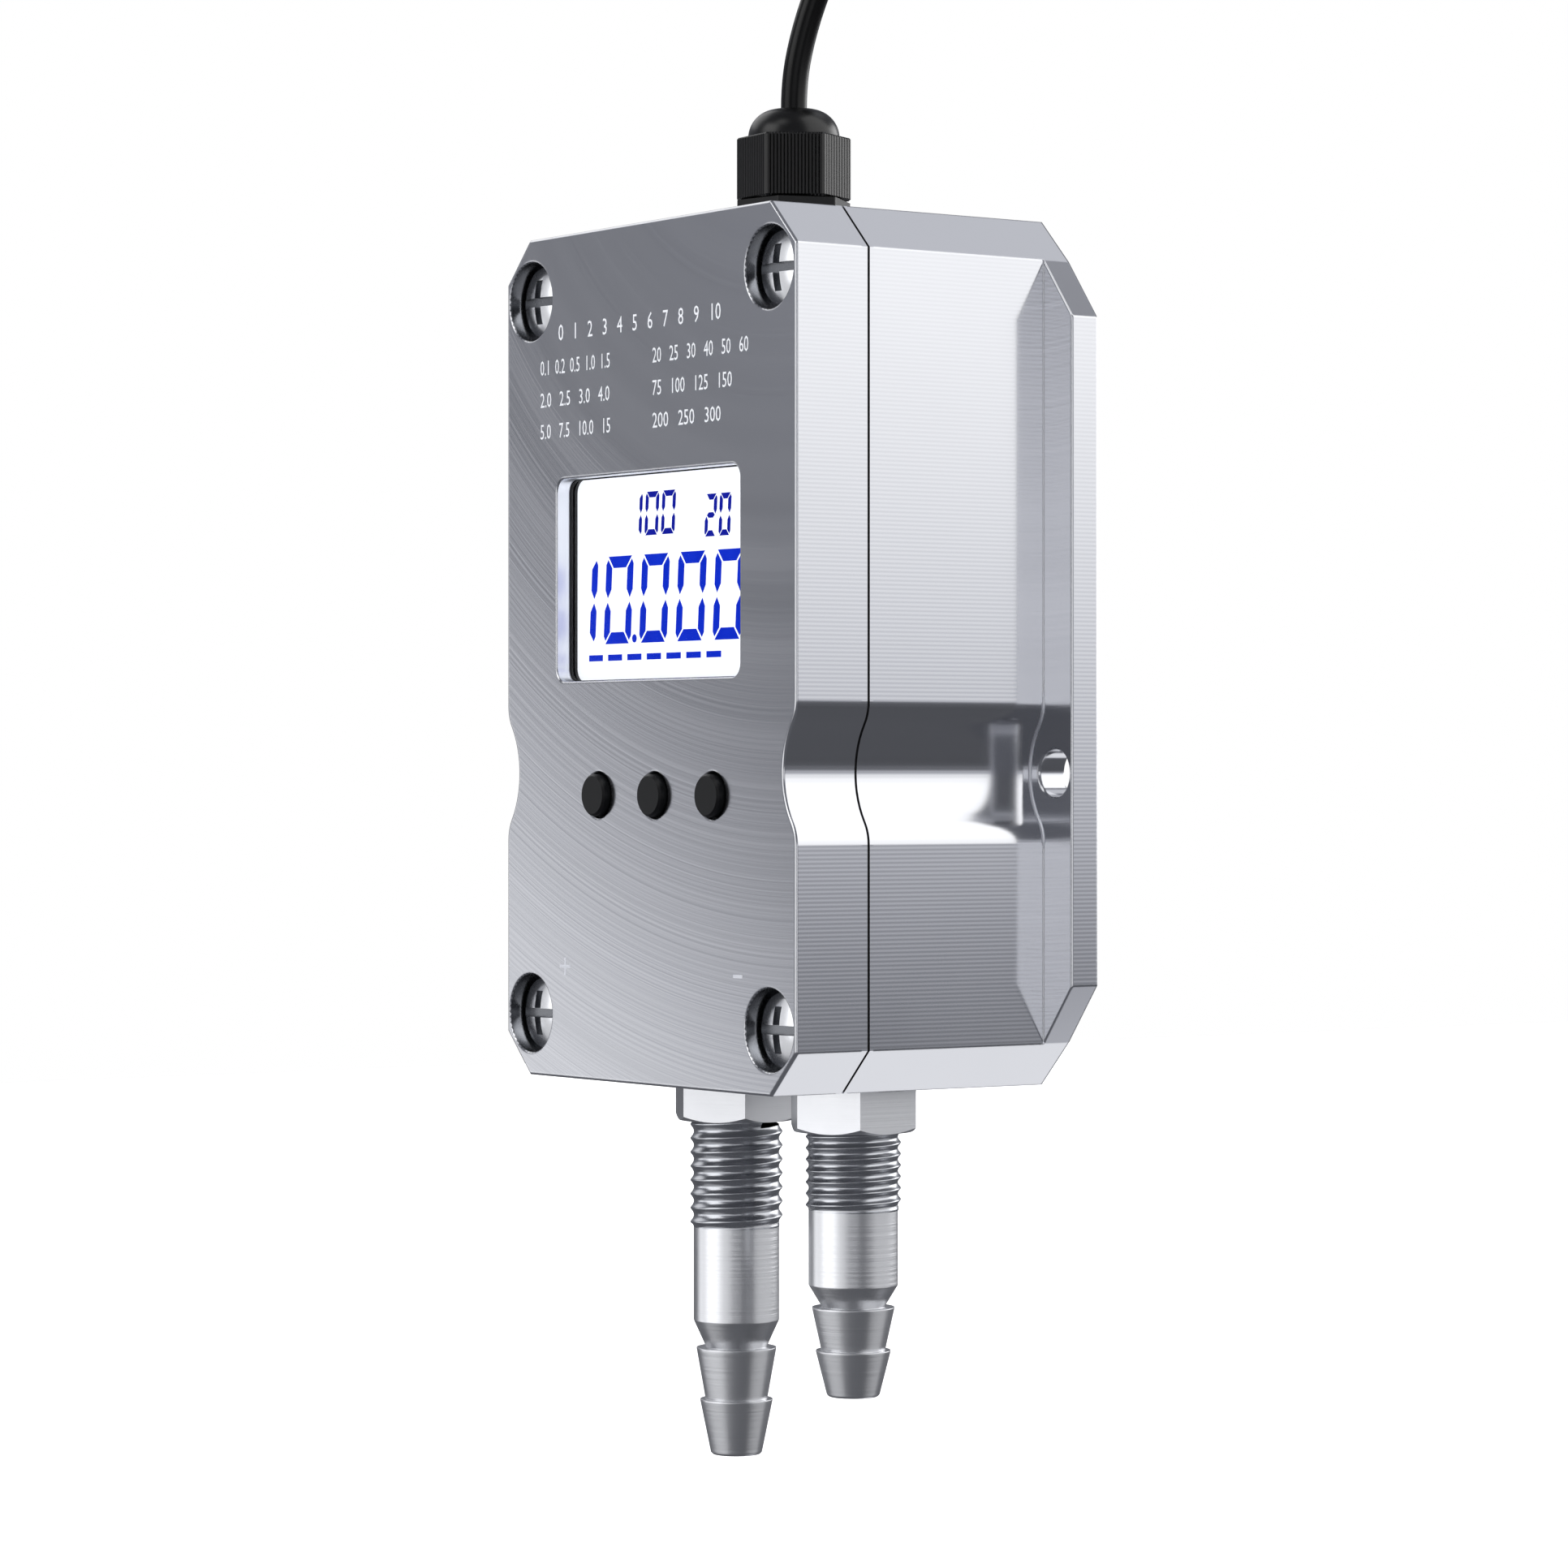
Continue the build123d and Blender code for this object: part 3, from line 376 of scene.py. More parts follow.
def turned_steel(name, colour, roughness, ring_depth):
    """Bright steel bar with turning rings of a given depth in millimetres."""
    material, tree, shader = new_material(name, colour, 1.0, roughness)
    place = millimetres(tree)
    height = add(tree, "ShaderNodeSeparateXYZ", {0: place}).outputs["Z"]
    rings = {"W": height, "Scale": 1.0 / ring_pitch, "Detail": 3.0, "Roughness": 0.6}
    rings = add(tree, "ShaderNodeTexNoise", rings, noise_dimensions="1D")
    relief = add(tree, "ShaderNodeBump", {"Height": rings, "Distance": ring_depth * MM})
    tree.links.new(relief.outputs["Normal"], shader.inputs["Normal"])
    clouds = add(tree, "ShaderNodeTexNoise", {"Vector": place, "Scale": 0.4, "Detail": 4.0})
    surface_marks(tree, shader, clouds, roughness - 0.02, roughness + 0.02)
    return material


turned = turned_steel("turned_stainless_steel", "#CFD0D3", 0.33, 0.02)
# Darker than the turned steel: painted shade of the thread grooves.
thread_steel_painted_shade = turned_steel("rolled_thread_steel_painted_shade", "#B4B6BB", 0.26, 0.001)
print("turned steel: rings", ring_pitch, "mm apart")

# %% [markdown]
# The cover screws are plated steel: brighter than the housing and a little scratched.
# Plating is a thin even skin, so the scratches change the gloss more than the relief.

# %% Plated steel for screws
plated, tree, shader = new_material("plated_steel", "#E2E3E6", 1.0, 0.25)
scratches = {"Vector": millimetres(tree), "Scale": 3.0, "Detail": 5.0}
scratches = add(tree, "ShaderNodeTexNoise", scratches)
surface_marks(tree, shader, scratches, 0.18, 0.24, 0.001)
print("made", plated.name)

# %% [markdown]
# The gland, its washer, the lead's jacket and the buttons are black polymers.
# Nylon is moulded satin, PVC is drawn smooth, and rubber is dull.
# They differ by roughness and by a fine grain, so one function makes them all.

# %% Black polymers
def polymer(name, colour, roughness, grain_mm, grain_depth, mirror=0.5):
    """A moulded or drawn polymer with a fine grain; mirror is its specular level."""
    material, tree, shader = new_material(name, colour, 0.0, roughness, Specular_IOR_Level=mirror)
    grain = {"Vector": millimetres(tree), "Scale": 1.0 / grain_mm, "Detail": 3.0}
    grain = add(tree, "ShaderNodeTexNoise", grain)
    surface_marks(tree, shader, grain, roughness * 0.96, roughness * 1.04, grain_depth)
    darker, lighter = [
        [min(c * share, 1.0) for c in linear(colour)[:3]] + [1.0] for share in (0.92, 1.08)
    ]
    tint = {"Factor": grain, 6: darker, 7: lighter}
    tint = add(tree, "ShaderNodeMix", tint, data_type="RGBA")
    tree.links.new(tint.outputs[2], shader.inputs["Base Color"])
    return material


black_nylon = polymer("moulded_nylon", "#070708", 0.3, 1.5, 0.0005, 0.45)
jacket = polymer("drawn_pvc_jacket", "#070708", 0.28, 1.5, 0.0005, 0.25)
button_resin = polymer("moulded_button_resin", "#0A0B0D", 0.4, 0.2, 0.002, 0.35)
black_rubber = polymer("moulded_rubber", "#0C0D0E", 0.62, 0.3, 0.006)
print("black polymers:", black_nylon.name, jacket.name, button_resin.name, black_rubber.name)

# %% [markdown]
# The parts behind the closed cover are dressed too, in the plain colours such parts have.
# A solder mask is green and glossy, posts are turned brass and hoses are milky silicone.

# %% Materials of the parts inside
solder_mask = polymer("solder_mask", "#1F5B35", 0.3, 1.2, 0.004)
connector_resin = polymer("connector_resin", "#1B1C1E", 0.45, 0.3, 0.004)
terminal_resin = polymer("terminal_resin", "#2E7D4A", 0.4, 0.3, 0.004)
ribbon_jacket = polymer("ribbon_jacket", "#8C8F93", 0.5, 0.6, 0.006)
sensor_resin = polymer("sensor_resin", "#2A2B2E", 0.45, 0.3, 0.004)
silicone = polymer("silicone_hose", "#D8D9D4", 0.4, 0.6, 0.004)
frame_resin = polymer("matt_frame_resin", "#0A0B0D", 0.5, 0.25, 0.003)
diffuser = polymer("backlight_diffuser", "#F2F5FA", 0.3, 0.8, 0.002)
brass, tree, shader = new_material("turned_brass", "#C9A24C", 1.0, 0.25)
stains = add(tree, "ShaderNodeTexNoise", {"Vector": millimetres(tree), "Scale": 2.0})
surface_marks(tree, shader, stains, 0.18, 0.32)
print("materials so far", len(bpy.data.materials))

# %% [markdown]
# The window is clear glass with an anti-reflection film on both faces.
# The film could be a layer of its own, but a lower IOR than the 1.5 of plain glass does the
# same here: hardly any mirror image covers the display, as in the photograph.
# The display behind it is lit from its back, and its field glows an even bluish white.

# %% Window glass and the lit display
glass, tree, shader = new_material(
    "window_glass", "#FFFFFF", 0.0, 0.02, Transmission_Weight=1.0, IOR=1.12
)
smears = add(tree, "ShaderNodeTexNoise", {"Vector": millimetres(tree), "Scale": 0.2})
surface_marks(tree, shader, smears, 0.0, 0.03)
lit_field, tree, shader = new_material(
    "lit_display_field", "#8C9096", 0.0, 0.6, Emission_Color=linear("#F6F9FF")
)
glow = add(tree, "ShaderNodeTexNoise", {"Vector": millimetres(tree), "Scale": 0.05})
glow = add(tree, "ShaderNodeMapRange", {"Value": glow, "To Min": 0.92, "To Max": 1.0})
tree.links.new(glow.outputs["Result"], shader.inputs["Emission Strength"])
print("made", glass.name, "and", lit_field.name)

# %% [markdown]
# The record names one material slot for each finish.
# One table joins each slot to its material, and a loop dresses every CAD node from it.

# %% Dress the CAD nodes
slot_materials = {
    "housing_aluminium": milled,
    "gasket_rubber": black_rubber,
    "screw_steel": plated,
    "button_plastic": button_resin,
    "switch_plastic": connector_resin,
    "window_glass": glass,
    "display_frame_plastic": frame_resin,
    "display_glass": lit_field,
    "backlight_plastic": diffuser,
    "circuit_board": solder_mask,
    "post_brass": brass,
    "connector_plastic": connector_resin,
    "terminal_plastic": terminal_resin,
    "ribbon_plastic": ribbon_jacket,
    "sensor_plastic": sensor_resin,
    "hose_rubber": silicone,
    "fitting_steel": turned,
    "seal_rubber": black_rubber,
    "gland_nylon": black_nylon,
    "cable_jacket": jacket,
    "wire_insulation": silicone,
    "tie_nylon": black_nylon,
}
for part in frame["record"]["subparts"]:
    mesh = nodes[part["node"]].data
    mesh.materials.clear()
    mesh.materials.append(slot_materials[part["material_slot"]])
lead_curve.materials.append(jacket)

# %% [markdown]
# A solid from the CAD model may carry a second and a third material on some of its faces.
# In the cover these are the window's walls, with painted glow, and the counterbores, and in the
# screws the slots, both with painted shade.
# Cutting them off as pieces of their own would change the solids, so the faces are found by
# where they lie and get another material index.

# %% Duller faces, with painted glow and painted shade, in the cover and in the screw heads
screw_x, screw_z, counterbore_radius = 31.25, 53.25, 5.85
window_z, window_half, window_tall = 28.6, 24.0, 15.0
window_margin, counterbore_margin, slot_reach = 0.3, 0.1, 4.0


def from_screw(face):
    """Distance in millimetres from a face's middle to the nearest screw's axis."""
    x, z = abs(face.center.x / MM), abs(face.center.z / MM - body_middle / MM)
    return hypot(x - screw_x, z - screw_z)


cover_mesh = nodes["front_cover"].data
# Window walls: the paler aluminium, painted glow of the display.
cover_mesh.materials.append(bored_painted_light)
# Counterbores: the darker aluminium, painted shade.
cover_mesh.materials.append(counterbored_painted_shade)
for face in cover_mesh.polygons:
    across, up = abs(face.center.x / MM), abs(face.center.z / MM - window_z)
    in_window = across < window_half + window_margin and up < window_tall + window_margin
    if in_window and abs(face.normal.y) < 0.5:
        face.material_index = 1
    elif from_screw(face) < counterbore_radius + counterbore_margin:
        face.material_index = 2
screw_mesh = nodes["cover_screws"].data
# Screw slots: the darker aluminium, painted shade.
screw_mesh.materials.append(counterbored_painted_shade)
for face in screw_mesh.polygons:
    wall_or_floor = abs(face.normal.y) < 0.3 or face.normal.y < -0.9995
    if wall_or_floor and from_screw(face) < slot_reach:
        face.material_index = 1
for mesh in (cover_mesh, screw_mesh):
    duller_and_painted = sum(face.material_index > 0 for face in mesh.polygons)
    print(mesh.name, "has", duller_and_painted, "duller faces of", len(mesh.polygons))

# %% [markdown]
# Small pieces that are not in the CAD model are plain meshes worked out from points.
# One helper gives a mesh its material and fixes it to its body, and one cleans it first.
# Most shapes are rings of points with faces between them, so one function makes those faces.

# %% Mesh helpers
def fix_piece(name, mesh, material):
    """Makes an object of a mesh, with its finish and slot, that rides on the housing."""
    mesh.materials.clear()
    mesh.materials.append(material)
    piece = bpy.data.objects.new(name, mesh)
    bpy.context.scene.collection.objects.link(piece)
    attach(piece, "housing")
    return piece


def make_piece(name, points, faces, material):
    """A clean mesh piece from points in millimetres."""
    mesh = bpy.data.meshes.new(name)
    mesh.from_pydata([Vector(point) * MM for point in points], [], faces)
    shape = bmesh.new()
    shape.from_mesh(mesh)
    bmesh.ops.remove_doubles(shape, verts=shape.verts, dist=1e-7)
    bmesh.ops.dissolve_degenerate(shape, edges=shape.edges, dist=1e-7)
    bmesh.ops.recalc_face_normals(shape, faces=shape.faces)
    shape.to_mesh(mesh)
    shape.free()
    return fix_piece(name, mesh, material)


def smooth_by_angle(piece, limit):
    """Shades rounded faces smooth and keeps corners sharper than the limit."""
    piece.data.shade_smooth()
    piece.data.set_sharp_from_angle(angle=radians(limit))


def skin(size, rings, looped=False, open_rings=False):
    """Faces between rings of points that follow each other; looped joins the last to the first."""
    faces = []
    for ring in range(rings if looped else rings - 1):
        here, there = ring * size, (ring + 1) % rings * size
        for i in range(size - 1 if open_rings else size):
            j = (i + 1) % size
            faces.append([here + i, here + j, there + j, there + i])
    return faces


print("a tube of 3 rings with 4 points has", len(skin(4, 3)), "faces")

# %% [markdown]
# The film, the digits' bars and the seal are thin flat things of real thickness.
# They could be planes, but a prism also has an edge that catches light and can't flicker
# against the face it lies on.

# %% Prisms and rounded outlines
def prisms(outlines, front, thickness):
    """Points and faces of thin prisms; an outline is (x, z) places seen from the front."""
    points, faces = [], []
    for outline in outlines:
        start, count = len(points), len(outline)
        points += [(x, front, z) for x, z in outline]
        points += [(x, front + thickness, z) for x, z in outline]
        faces.append(list(range(start, start + count)))
        faces.append(list(range(start + 2 * count - 1, start + count - 1, -1)))
        faces += [[start + i for i in face] for face in skin(count, 2)]
    return points, faces


def rounded_rectangle(wide, tall, middle_z, corner, steps=6):
    """Outline of a rounded rectangle centred on x = 0."""
    outline = []
    for quarter, (side, level) in enumerate(((1, 1), (-1, 1), (-1, -1), (1, -1))):
        for step in range(steps + 1):
            turn = pi / 2 * (quarter + step / steps)
            outline.append(
                (
                    side * (wide - corner) + corner * cos(turn),
                    middle_z + level * (tall - corner) + corner * sin(turn),
                )
            )
    return outline


print("a rounded outline has", len(rounded_rectangle(1.0, 1.0, 0.0, 0.2)), "places")

# %% [markdown]
# Behind the pane lies the lit film of the display, and a thin black seal rims the opening.
# Both follow the rounded outline of the window in the cover, so one outline serves both.

# %% Lit film and window seal
film_forward, film_thickness, film_corner = 0.45, 0.42, 0.3
film_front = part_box("lcd_panel")[0].y / MM - film_forward
film_outline = rounded_rectangle(window_half, window_tall, window_z, film_corner)
points, faces = prisms([film_outline], film_front, film_thickness)
make_piece("display_film", points, faces, lit_field)
seal_front, seal_back, seal_width, window_corner = -45.63, -45.02, 0.15, 2.0
outer, inner = [
    rounded_rectangle(window_half - by, window_tall - by, window_z, window_corner - by)
    for by in (0.0, seal_width)
]
rings = [(seal_front, outer), (seal_front, inner), (seal_back, inner), (seal_back, outer)]
points = [(x, y, z) for y, ring in rings for x, z in ring]
faces = skin(len(outer), len(rings), looped=True)
make_piece("window_seal", points, faces, black_rubber)
print("film front y", round(film_front, 2), "seal", seal_front, "to", seal_back)

# %% [markdown]
# The display shows digits made of seven bars, drawn as thin blue prisms on its face.
# A digit leans four degrees. Its flat bars are trapezoids and its upright bars have points,
# so that thin slanted gaps stay between the bars, as on a real liquid crystal cell.
# They could be a picture on the glass, but as shapes they stay sharp from close by.

# %% Bars of one digit
digit_lean = tan(radians(4.0))
bars_of = {
    "0": "abcdef",
    "1": "bc",
    "2": "abged",
}


def digit_bars(x, z, width, height, bar, letters):
    """Outlines of a digit's bars. x, z is its lower left corner before it leans."""
    gap = 0.2 * bar
    middle = height / 2
    upper = [
        (0.3 * bar, height - 0.3 * bar),
        (0.0, height - 0.75 * bar),
        (0.0, middle + 0.75 * bar + gap),
        (0.45 * bar, middle + gap),
        (bar, middle + 0.8 * bar + gap),
        (bar, height - 1.1 * bar),
    ]
    flat = [
        (0.32 * bar, height),
        (width - 0.32 * bar, height),
        (width - 1.25 * bar, height - 1.08 * bar),
        (1.25 * bar, height - 1.08 * bar),
    ]
    bridge = [
        (0.6 * bar, middle),
        (1.15 * bar, middle + bar / 2),
        (width - 1.15 * bar, middle + bar / 2),
        (width - 0.6 * bar, middle),
        (width - 1.15 * bar, middle - bar / 2),
        (1.15 * bar, middle - bar / 2),
    ]
    shapes = {
        "a": flat,
        "d": [(u, height - v) for u, v in flat],
        "f": upper,
        "e": [(u, height - v) for u, v in upper],
        "b": [(width - u, v) for u, v in upper],
        "c": [(width - u, height - v) for u, v in upper],
        "g": bridge,
    }
    return [[(x + u + v * digit_lean, z + v) for u, v in shapes[letter]] for letter in letters]


print("bars drawn for the figures", *bars_of)

# %% [markdown]
# The large row reads ten with three decimals, seven dashes lie below it and two small
# numbers above it. All places are in millimetres on the face, from the lower left corner.

# %% Numbers and dashes on the display
digit_width, digit_height, digit_bar = 7.3, 12.9, 1.6
digit_pitch, digit_left, digit_bottom = 9.55, -26.43, 19.05
outlines = []
for place, figure in enumerate("10000"):
    outlines += digit_bars(
        digit_left + place * digit_pitch,
        digit_bottom,
        digit_width,
        digit_height,
        digit_bar,
        bars_of[figure],
    )
point_x, point_z, point_radius = -8.56, 19.75, 0.62
point_turns = [pi * turn / 8 for turn in range(16)]
outlines.append(
    [(point_x + point_radius * cos(a), point_z + point_radius * sin(a)) for a in point_turns]
)
dash_left, dash_pitch, dash_width, dash_bottom, dash_height = -20.8, 5.175, 3.75, 16.57, 0.92
for place in range(7):
    left = dash_left + place * dash_pitch
    right = left + dash_width
    top = dash_bottom + dash_height
    outlines.append([(left, dash_bottom), (right, dash_bottom), (right, top), (left, top)])
small_bar = 0.8
small_outlines = []
for text, left, bottom, pitch, width, height in (
    ("100", -10.25, 34.7, 4.35, 3.55, 6.35),
    ("20", 9.7, 33.9, 3.6, 2.95, 6.1),
):
    for place, figure in enumerate(text):
        small_outlines += digit_bars(
            left + place * pitch, bottom, width, height, small_bar, bars_of[figure]
        )
bar_depth = 0.03
print("outlines in the large row", len(outlines), "and in the small ones", len(small_outlines))

# %% [markdown]
# Liquid crystal bars let a little of the backlight through, so they glow deep blue.
# They could be see-through sheets, but an ink with its own faint light looks the same from
# all sides. The thin strokes of the small numbers look darker, so they have a second ink.

# %% Ink of the display
def display_ink(name, dark, light):
    """Nearly black itself, and blue from the light that passes it."""
    material, tree, shader = new_material(
        name, "#05060C", 0.0, 0.6, Specular_IOR_Level=0.0, Emission_Strength=1.0
    )
    uneven = add(tree, "ShaderNodeTexNoise", {"Vector": millimetres(tree), "Scale": 0.35})
    tint = {"Factor": uneven, 6: linear(dark), 7: linear(light)}
    tint = add(tree, "ShaderNodeMix", tint, data_type="RGBA")
    tree.links.new(tint.outputs[2], shader.inputs["Emission Color"])
    return material


for name, shapes, ink in (
    ("display_bars", outlines, display_ink("display_ink", "#0724BE", "#0E34D6")),
    (
        "display_small_bars",
        small_outlines,
        display_ink("display_ink_thin_strokes", "#0B1490", "#1420A8"),
    ),
):
    points, faces = prisms(shapes, film_front - bar_depth, bar_depth)
    make_piece(name, points, faces, ink)
    print(name, "faces", len(faces))

# %% [markdown]
# The front carries pale printed figures. Screen printing lays down a film of ink, so each
# line is a very thin solid on the face and not a picture in the metal's material.
# Blender's own font gives the outlines, which are then stretched to the height and width
# of the real line.

# %% One printed line
def printed_text(text, left, right, bottom, height, thickness=0.012):
    """A line of figures as a mesh on the front face, fitted to its width, in millimetres."""
    curve = bpy.data.curves.new("print", "FONT")
    curve.body = text
    curve.size = 10.0
    curve.extrude = thickness / 2
    curve.resolution_u = 2
    holder = bpy.data.objects.new("print", curve)
    bpy.context.scene.collection.objects.link(holder)
    bpy.context.view_layer.update()
    mesh = bpy.data.meshes.new_from_object(holder)
    xs = [vertex.co.x for vertex in mesh.vertices]
    ys = [vertex.co.y for vertex in mesh.vertices]
    wide = (right - left) / (max(xs) - min(xs))
    tall = height / (max(ys) - min(ys))
    mesh.transform(Matrix.Translation((-min(xs), -min(ys), 0.0)))
    mesh.transform(Matrix.Diagonal((wide, tall, 1.0, 1.0)))
    stand = Matrix.Translation((left, front_y / MM - thickness / 2, bottom))
    mesh.transform(stand @ Matrix.Rotation(pi / 2, 4, "X"))
    bpy.data.objects.remove(holder)
    bpy.data.curves.remove(curve)
    return mesh


print("printing with Blender's own font")

# %% [markdown]
# The figures stand above the window, in rows like those of a data table.
# They are plain numbers only, and plus and minus signs mark the two ports.
# Each row gives its text, left and right end, foot and height in millimetres.

# %% Printed figures and port signs
print_rows = [
    ("0   1   2   3   4   5   6   7   8   9   10", -23.5, 19.3, 64.2, 2.4),
    ("0.1  0.2  0.5  1.0  1.5", -28.5, -9.5, 59.3, 2.2),
    ("2.0   2.5   3.0   4.0", -28.5, -9.6, 54.5, 2.2),
    ("5.0   7.5   10.0   15", -28.5, -9.4, 49.8, 2.2),
    ("20   25   30   40   50   60", 1.8, 26.2, 59.2, 2.2),
    ("75   100   125   150", 1.8, 22.1, 54.5, 2.2),
    ("200   250   300", 1.8, 19.3, 49.8, 2.2),
]
port_signs = [("+", -23.1, -20.2, -29.9, 2.6), ("-", 22.4, 24.7, -28.9, 0.5)]


def print_piece(name, rows, material):
    """Joins several printed lines into one piece."""
    shape = bmesh.new()
    for row in rows:
        line = printed_text(*row)
        line.transform(Matrix.Scale(MM, 4))
        shape.from_mesh(line)
        bpy.data.meshes.remove(line)
    mesh = bpy.data.meshes.new(name)
    shape.to_mesh(mesh)
    shape.free()
    return fix_piece(name, mesh, material)


pale_ink = polymer("pale_printing_ink", "#DADCE1", 0.5, 0.15, 0.002)
faint_ink = polymer("faint_printing_ink", "#BDBFC6", 0.45, 0.15, 0.002)
printed_pieces = [
    print_piece("printed_figures", print_rows, pale_ink),
    print_piece("printed_port_signs", port_signs, faint_ink),
]
print("printed lines", len(print_rows), "and signs", len(port_signs))

# %% [markdown]
# A small fillet runs down the inner corner where the housing's side meets the flange.
# It mirrors a wide part of the room in a narrow strip, so it shows as a fine line, and the paler
# aluminium of the window walls adds a painted highlight to it.
# A bevel on the solid would change the CAD model, so it is a thin strip laid into the corner.
# Its path is the housing's own outline, read from the solid at the flange's front plane.

# %% Fillets at the root of the flange
flange_front = -4.6
fillet_radius, fillet_steps, fillet_overlap = 0.35, 6, 0.02
side_from, side_to = 30.0, 38.1
wall_hole_x, wall_hole_clear = 40.25, 4.3


def root_path(side):
    """The (x, z) places of the flange's root on one side, from below upwards."""
    path = set()
    for vertex in nodes["rear_housing"].data.vertices:
        x, y, z = vertex.co / MM
        on_root = abs(y - flange_front) < 0.02 and side_from < side * x < side_to
        if on_root and hypot(side * x - wall_hole_x, z) > wall_hole_clear:
            path.add((round(x, 3), round(z, 3)))
    return sorted(path, key=lambda place: place[1])


def flange_fillet(name, side):
    """A concave fillet down one side of the housing; side is 1 for right, -1 for left."""
    path = root_path(side)
    points = []
    for i, (x, z) in enumerate(path):
        before, after = path[max(i - 1, 0)], path[min(i + 1, len(path) - 1)]
        along = Vector((after[0] - before[0], after[1] - before[1])).normalized()
        out = Vector((along.y, -along.x)) * side
        places = []
        for step in range(fillet_steps + 1):
            turn = pi / 2 * step / fillet_steps
            places.append((fillet_radius * (1 - cos(turn)), fillet_radius * (1 - sin(turn))))
        places.append((-fillet_overlap, -fillet_overlap))
        for reach, forward in places:
            points.append((x + out.x * reach, flange_front - forward, z + out.y * reach))
    size = fillet_steps + 2
    faces = [list(range(size)), [len(points) - 1 - i for i in range(size)]]
    faces += skin(size, len(path))
    # The paler aluminium is a painted highlight along the fillet.
    piece = make_piece(name, points, faces, bored_painted_light)
    smooth_by_angle(piece, 40.0)
    print(name, "places on the path", len(path), path[0], path[-1])


flange_fillet("flange_fillet_right", 1)
flange_fillet("flange_fillet_left", -1)

# %% [markdown]
# The fittings and the gland's dome are turned shapes.
# Blender has a Screw modifier for this, but points worked out here can be checked and fitted
# to the frame: a profile simply goes once round the upright axis, in equal steps.

# %% Lathe
around = 96


def lathe(profile, x, y):
    """Turns a closed list of (radius, z) places round an upright axis."""
    points = []
    for step in range(around):
        angle = 2 * pi * step / around
        points += [(x + r * cos(angle), y + r * sin(angle), z) for r, z in profile]
    return points, skin(len(profile), around, looped=True)


print("turned pieces have", around, "steps")

# %% [markdown]
# The hose fittings carry a metric thread, which is too fine for the CAD model.
# A thread is a sleeve whose radius depends only on how far round and along it one is.
# Every column of points starts a little higher than the one before it, by the thread's rise,
# so the rows of points follow the helix and each crest is one clean sharp line.

# %% Thread
thread_rows = 16
crest_angle = 235.0  # where a crest's height was read, at the front left
valley_round, run_out = 0.16, 0.6


def thread_rise(phase):
    """Height across one pitch from 0 in the round valley to 1 on the sharp crest."""
    return 1.0 - hypot(sin(pi * phase), valley_round)


def thread_sleeve(x, y, top, bottom, pitch, crest_z, crest, root):
    """A right-hand outside thread that has a crest at crest_z at the crest angle."""
    points = []
    rows = int((top - bottom) / pitch + 2) * thread_rows
    first = crest_z - (int((crest_z - bottom) / pitch) + 1.5) * pitch
    for step in range(around + 1):
        share = step / around
        angle = 2 * pi * share
        shift = (share - crest_angle / 360.0) * pitch
        for row in range(rows + 1):
            z = min(max(first + shift + row * pitch / thread_rows, bottom), top)
            rise = thread_rise((z - crest_z - shift) / pitch)
            r = root + (crest - root) * rise * min((z - bottom) / run_out, 1.0)
            points.append((x + r * cos(angle), y + r * sin(angle), z))
    return points, skin(rows + 1, around + 1, open_rings=True)


print("threads have", thread_rows, "rows of points for each pitch")

# %% [markdown]
# A turned edge is never quite sharp: the polishing cloth takes off its last tenth.
# A Bevel modifier could do it, but small arcs in the profile are exact and cost few faces.
# Weighted normals then keep the wide faces evenly shaded, and the small arcs carry the turn.

# %% Softened edges of turned pieces
def rounded(profile, radius=0.12, steps=3):
    """Replaces the corners of a closed (radius, z) outline by small arcs."""
    soft = []
    for i, corner in enumerate(profile):
        before, after = Vector(profile[i - 1]), Vector(profile[(i + 1) % len(profile)])
        corner = Vector(corner)
        reach = min(radius, (before - corner).length / 3, (after - corner).length / 3)
        first = corner + (before - corner).normalized() * reach
        last = corner + (after - corner).normalized() * reach
        for step in range(steps + 1):
            s = step / steps
            place = first * (1 - s) ** 2 + corner * 2 * s * (1 - s) + last * s**2
            soft.append((place.x, place.y))
    return soft


def weigh_normals(piece):
    """Keeps wide faces evenly shaded and lets the small roundings carry the turn."""
    piece.data.shade_smooth()
    weighted = piece.modifiers.new("even shading", "WEIGHTED_NORMAL")
    weighted.weight = 100
    weighted.keep_sharp = True


print("a square profile gets", len(rounded([(1, 0), (2, 0), (2, 1), (1, 1)])), "places")

# %% [markdown]
# Both fittings share one profile: thread, shank, cone and two barbs that grip a hose.
# Small roundings on the edges catch the light, as a polished turned edge does.
# One function makes both, and only the pitch and the lengths differ.

# %% Hose fittings with threads and barbs
port_bore, thread_crest, cone_end, tip_radius = 2.5, 7.03, 4.55, 3.55
barb_radii, barb_roots, barb_land = (6.0, 5.45), (4.65, 3.85), 0.25
barb_draft, tip_bevel = 0.02, 0.3
into_nut, into_thread, past_thread = 0.5, 0.6, 0.35  # how far the hidden ends overlap


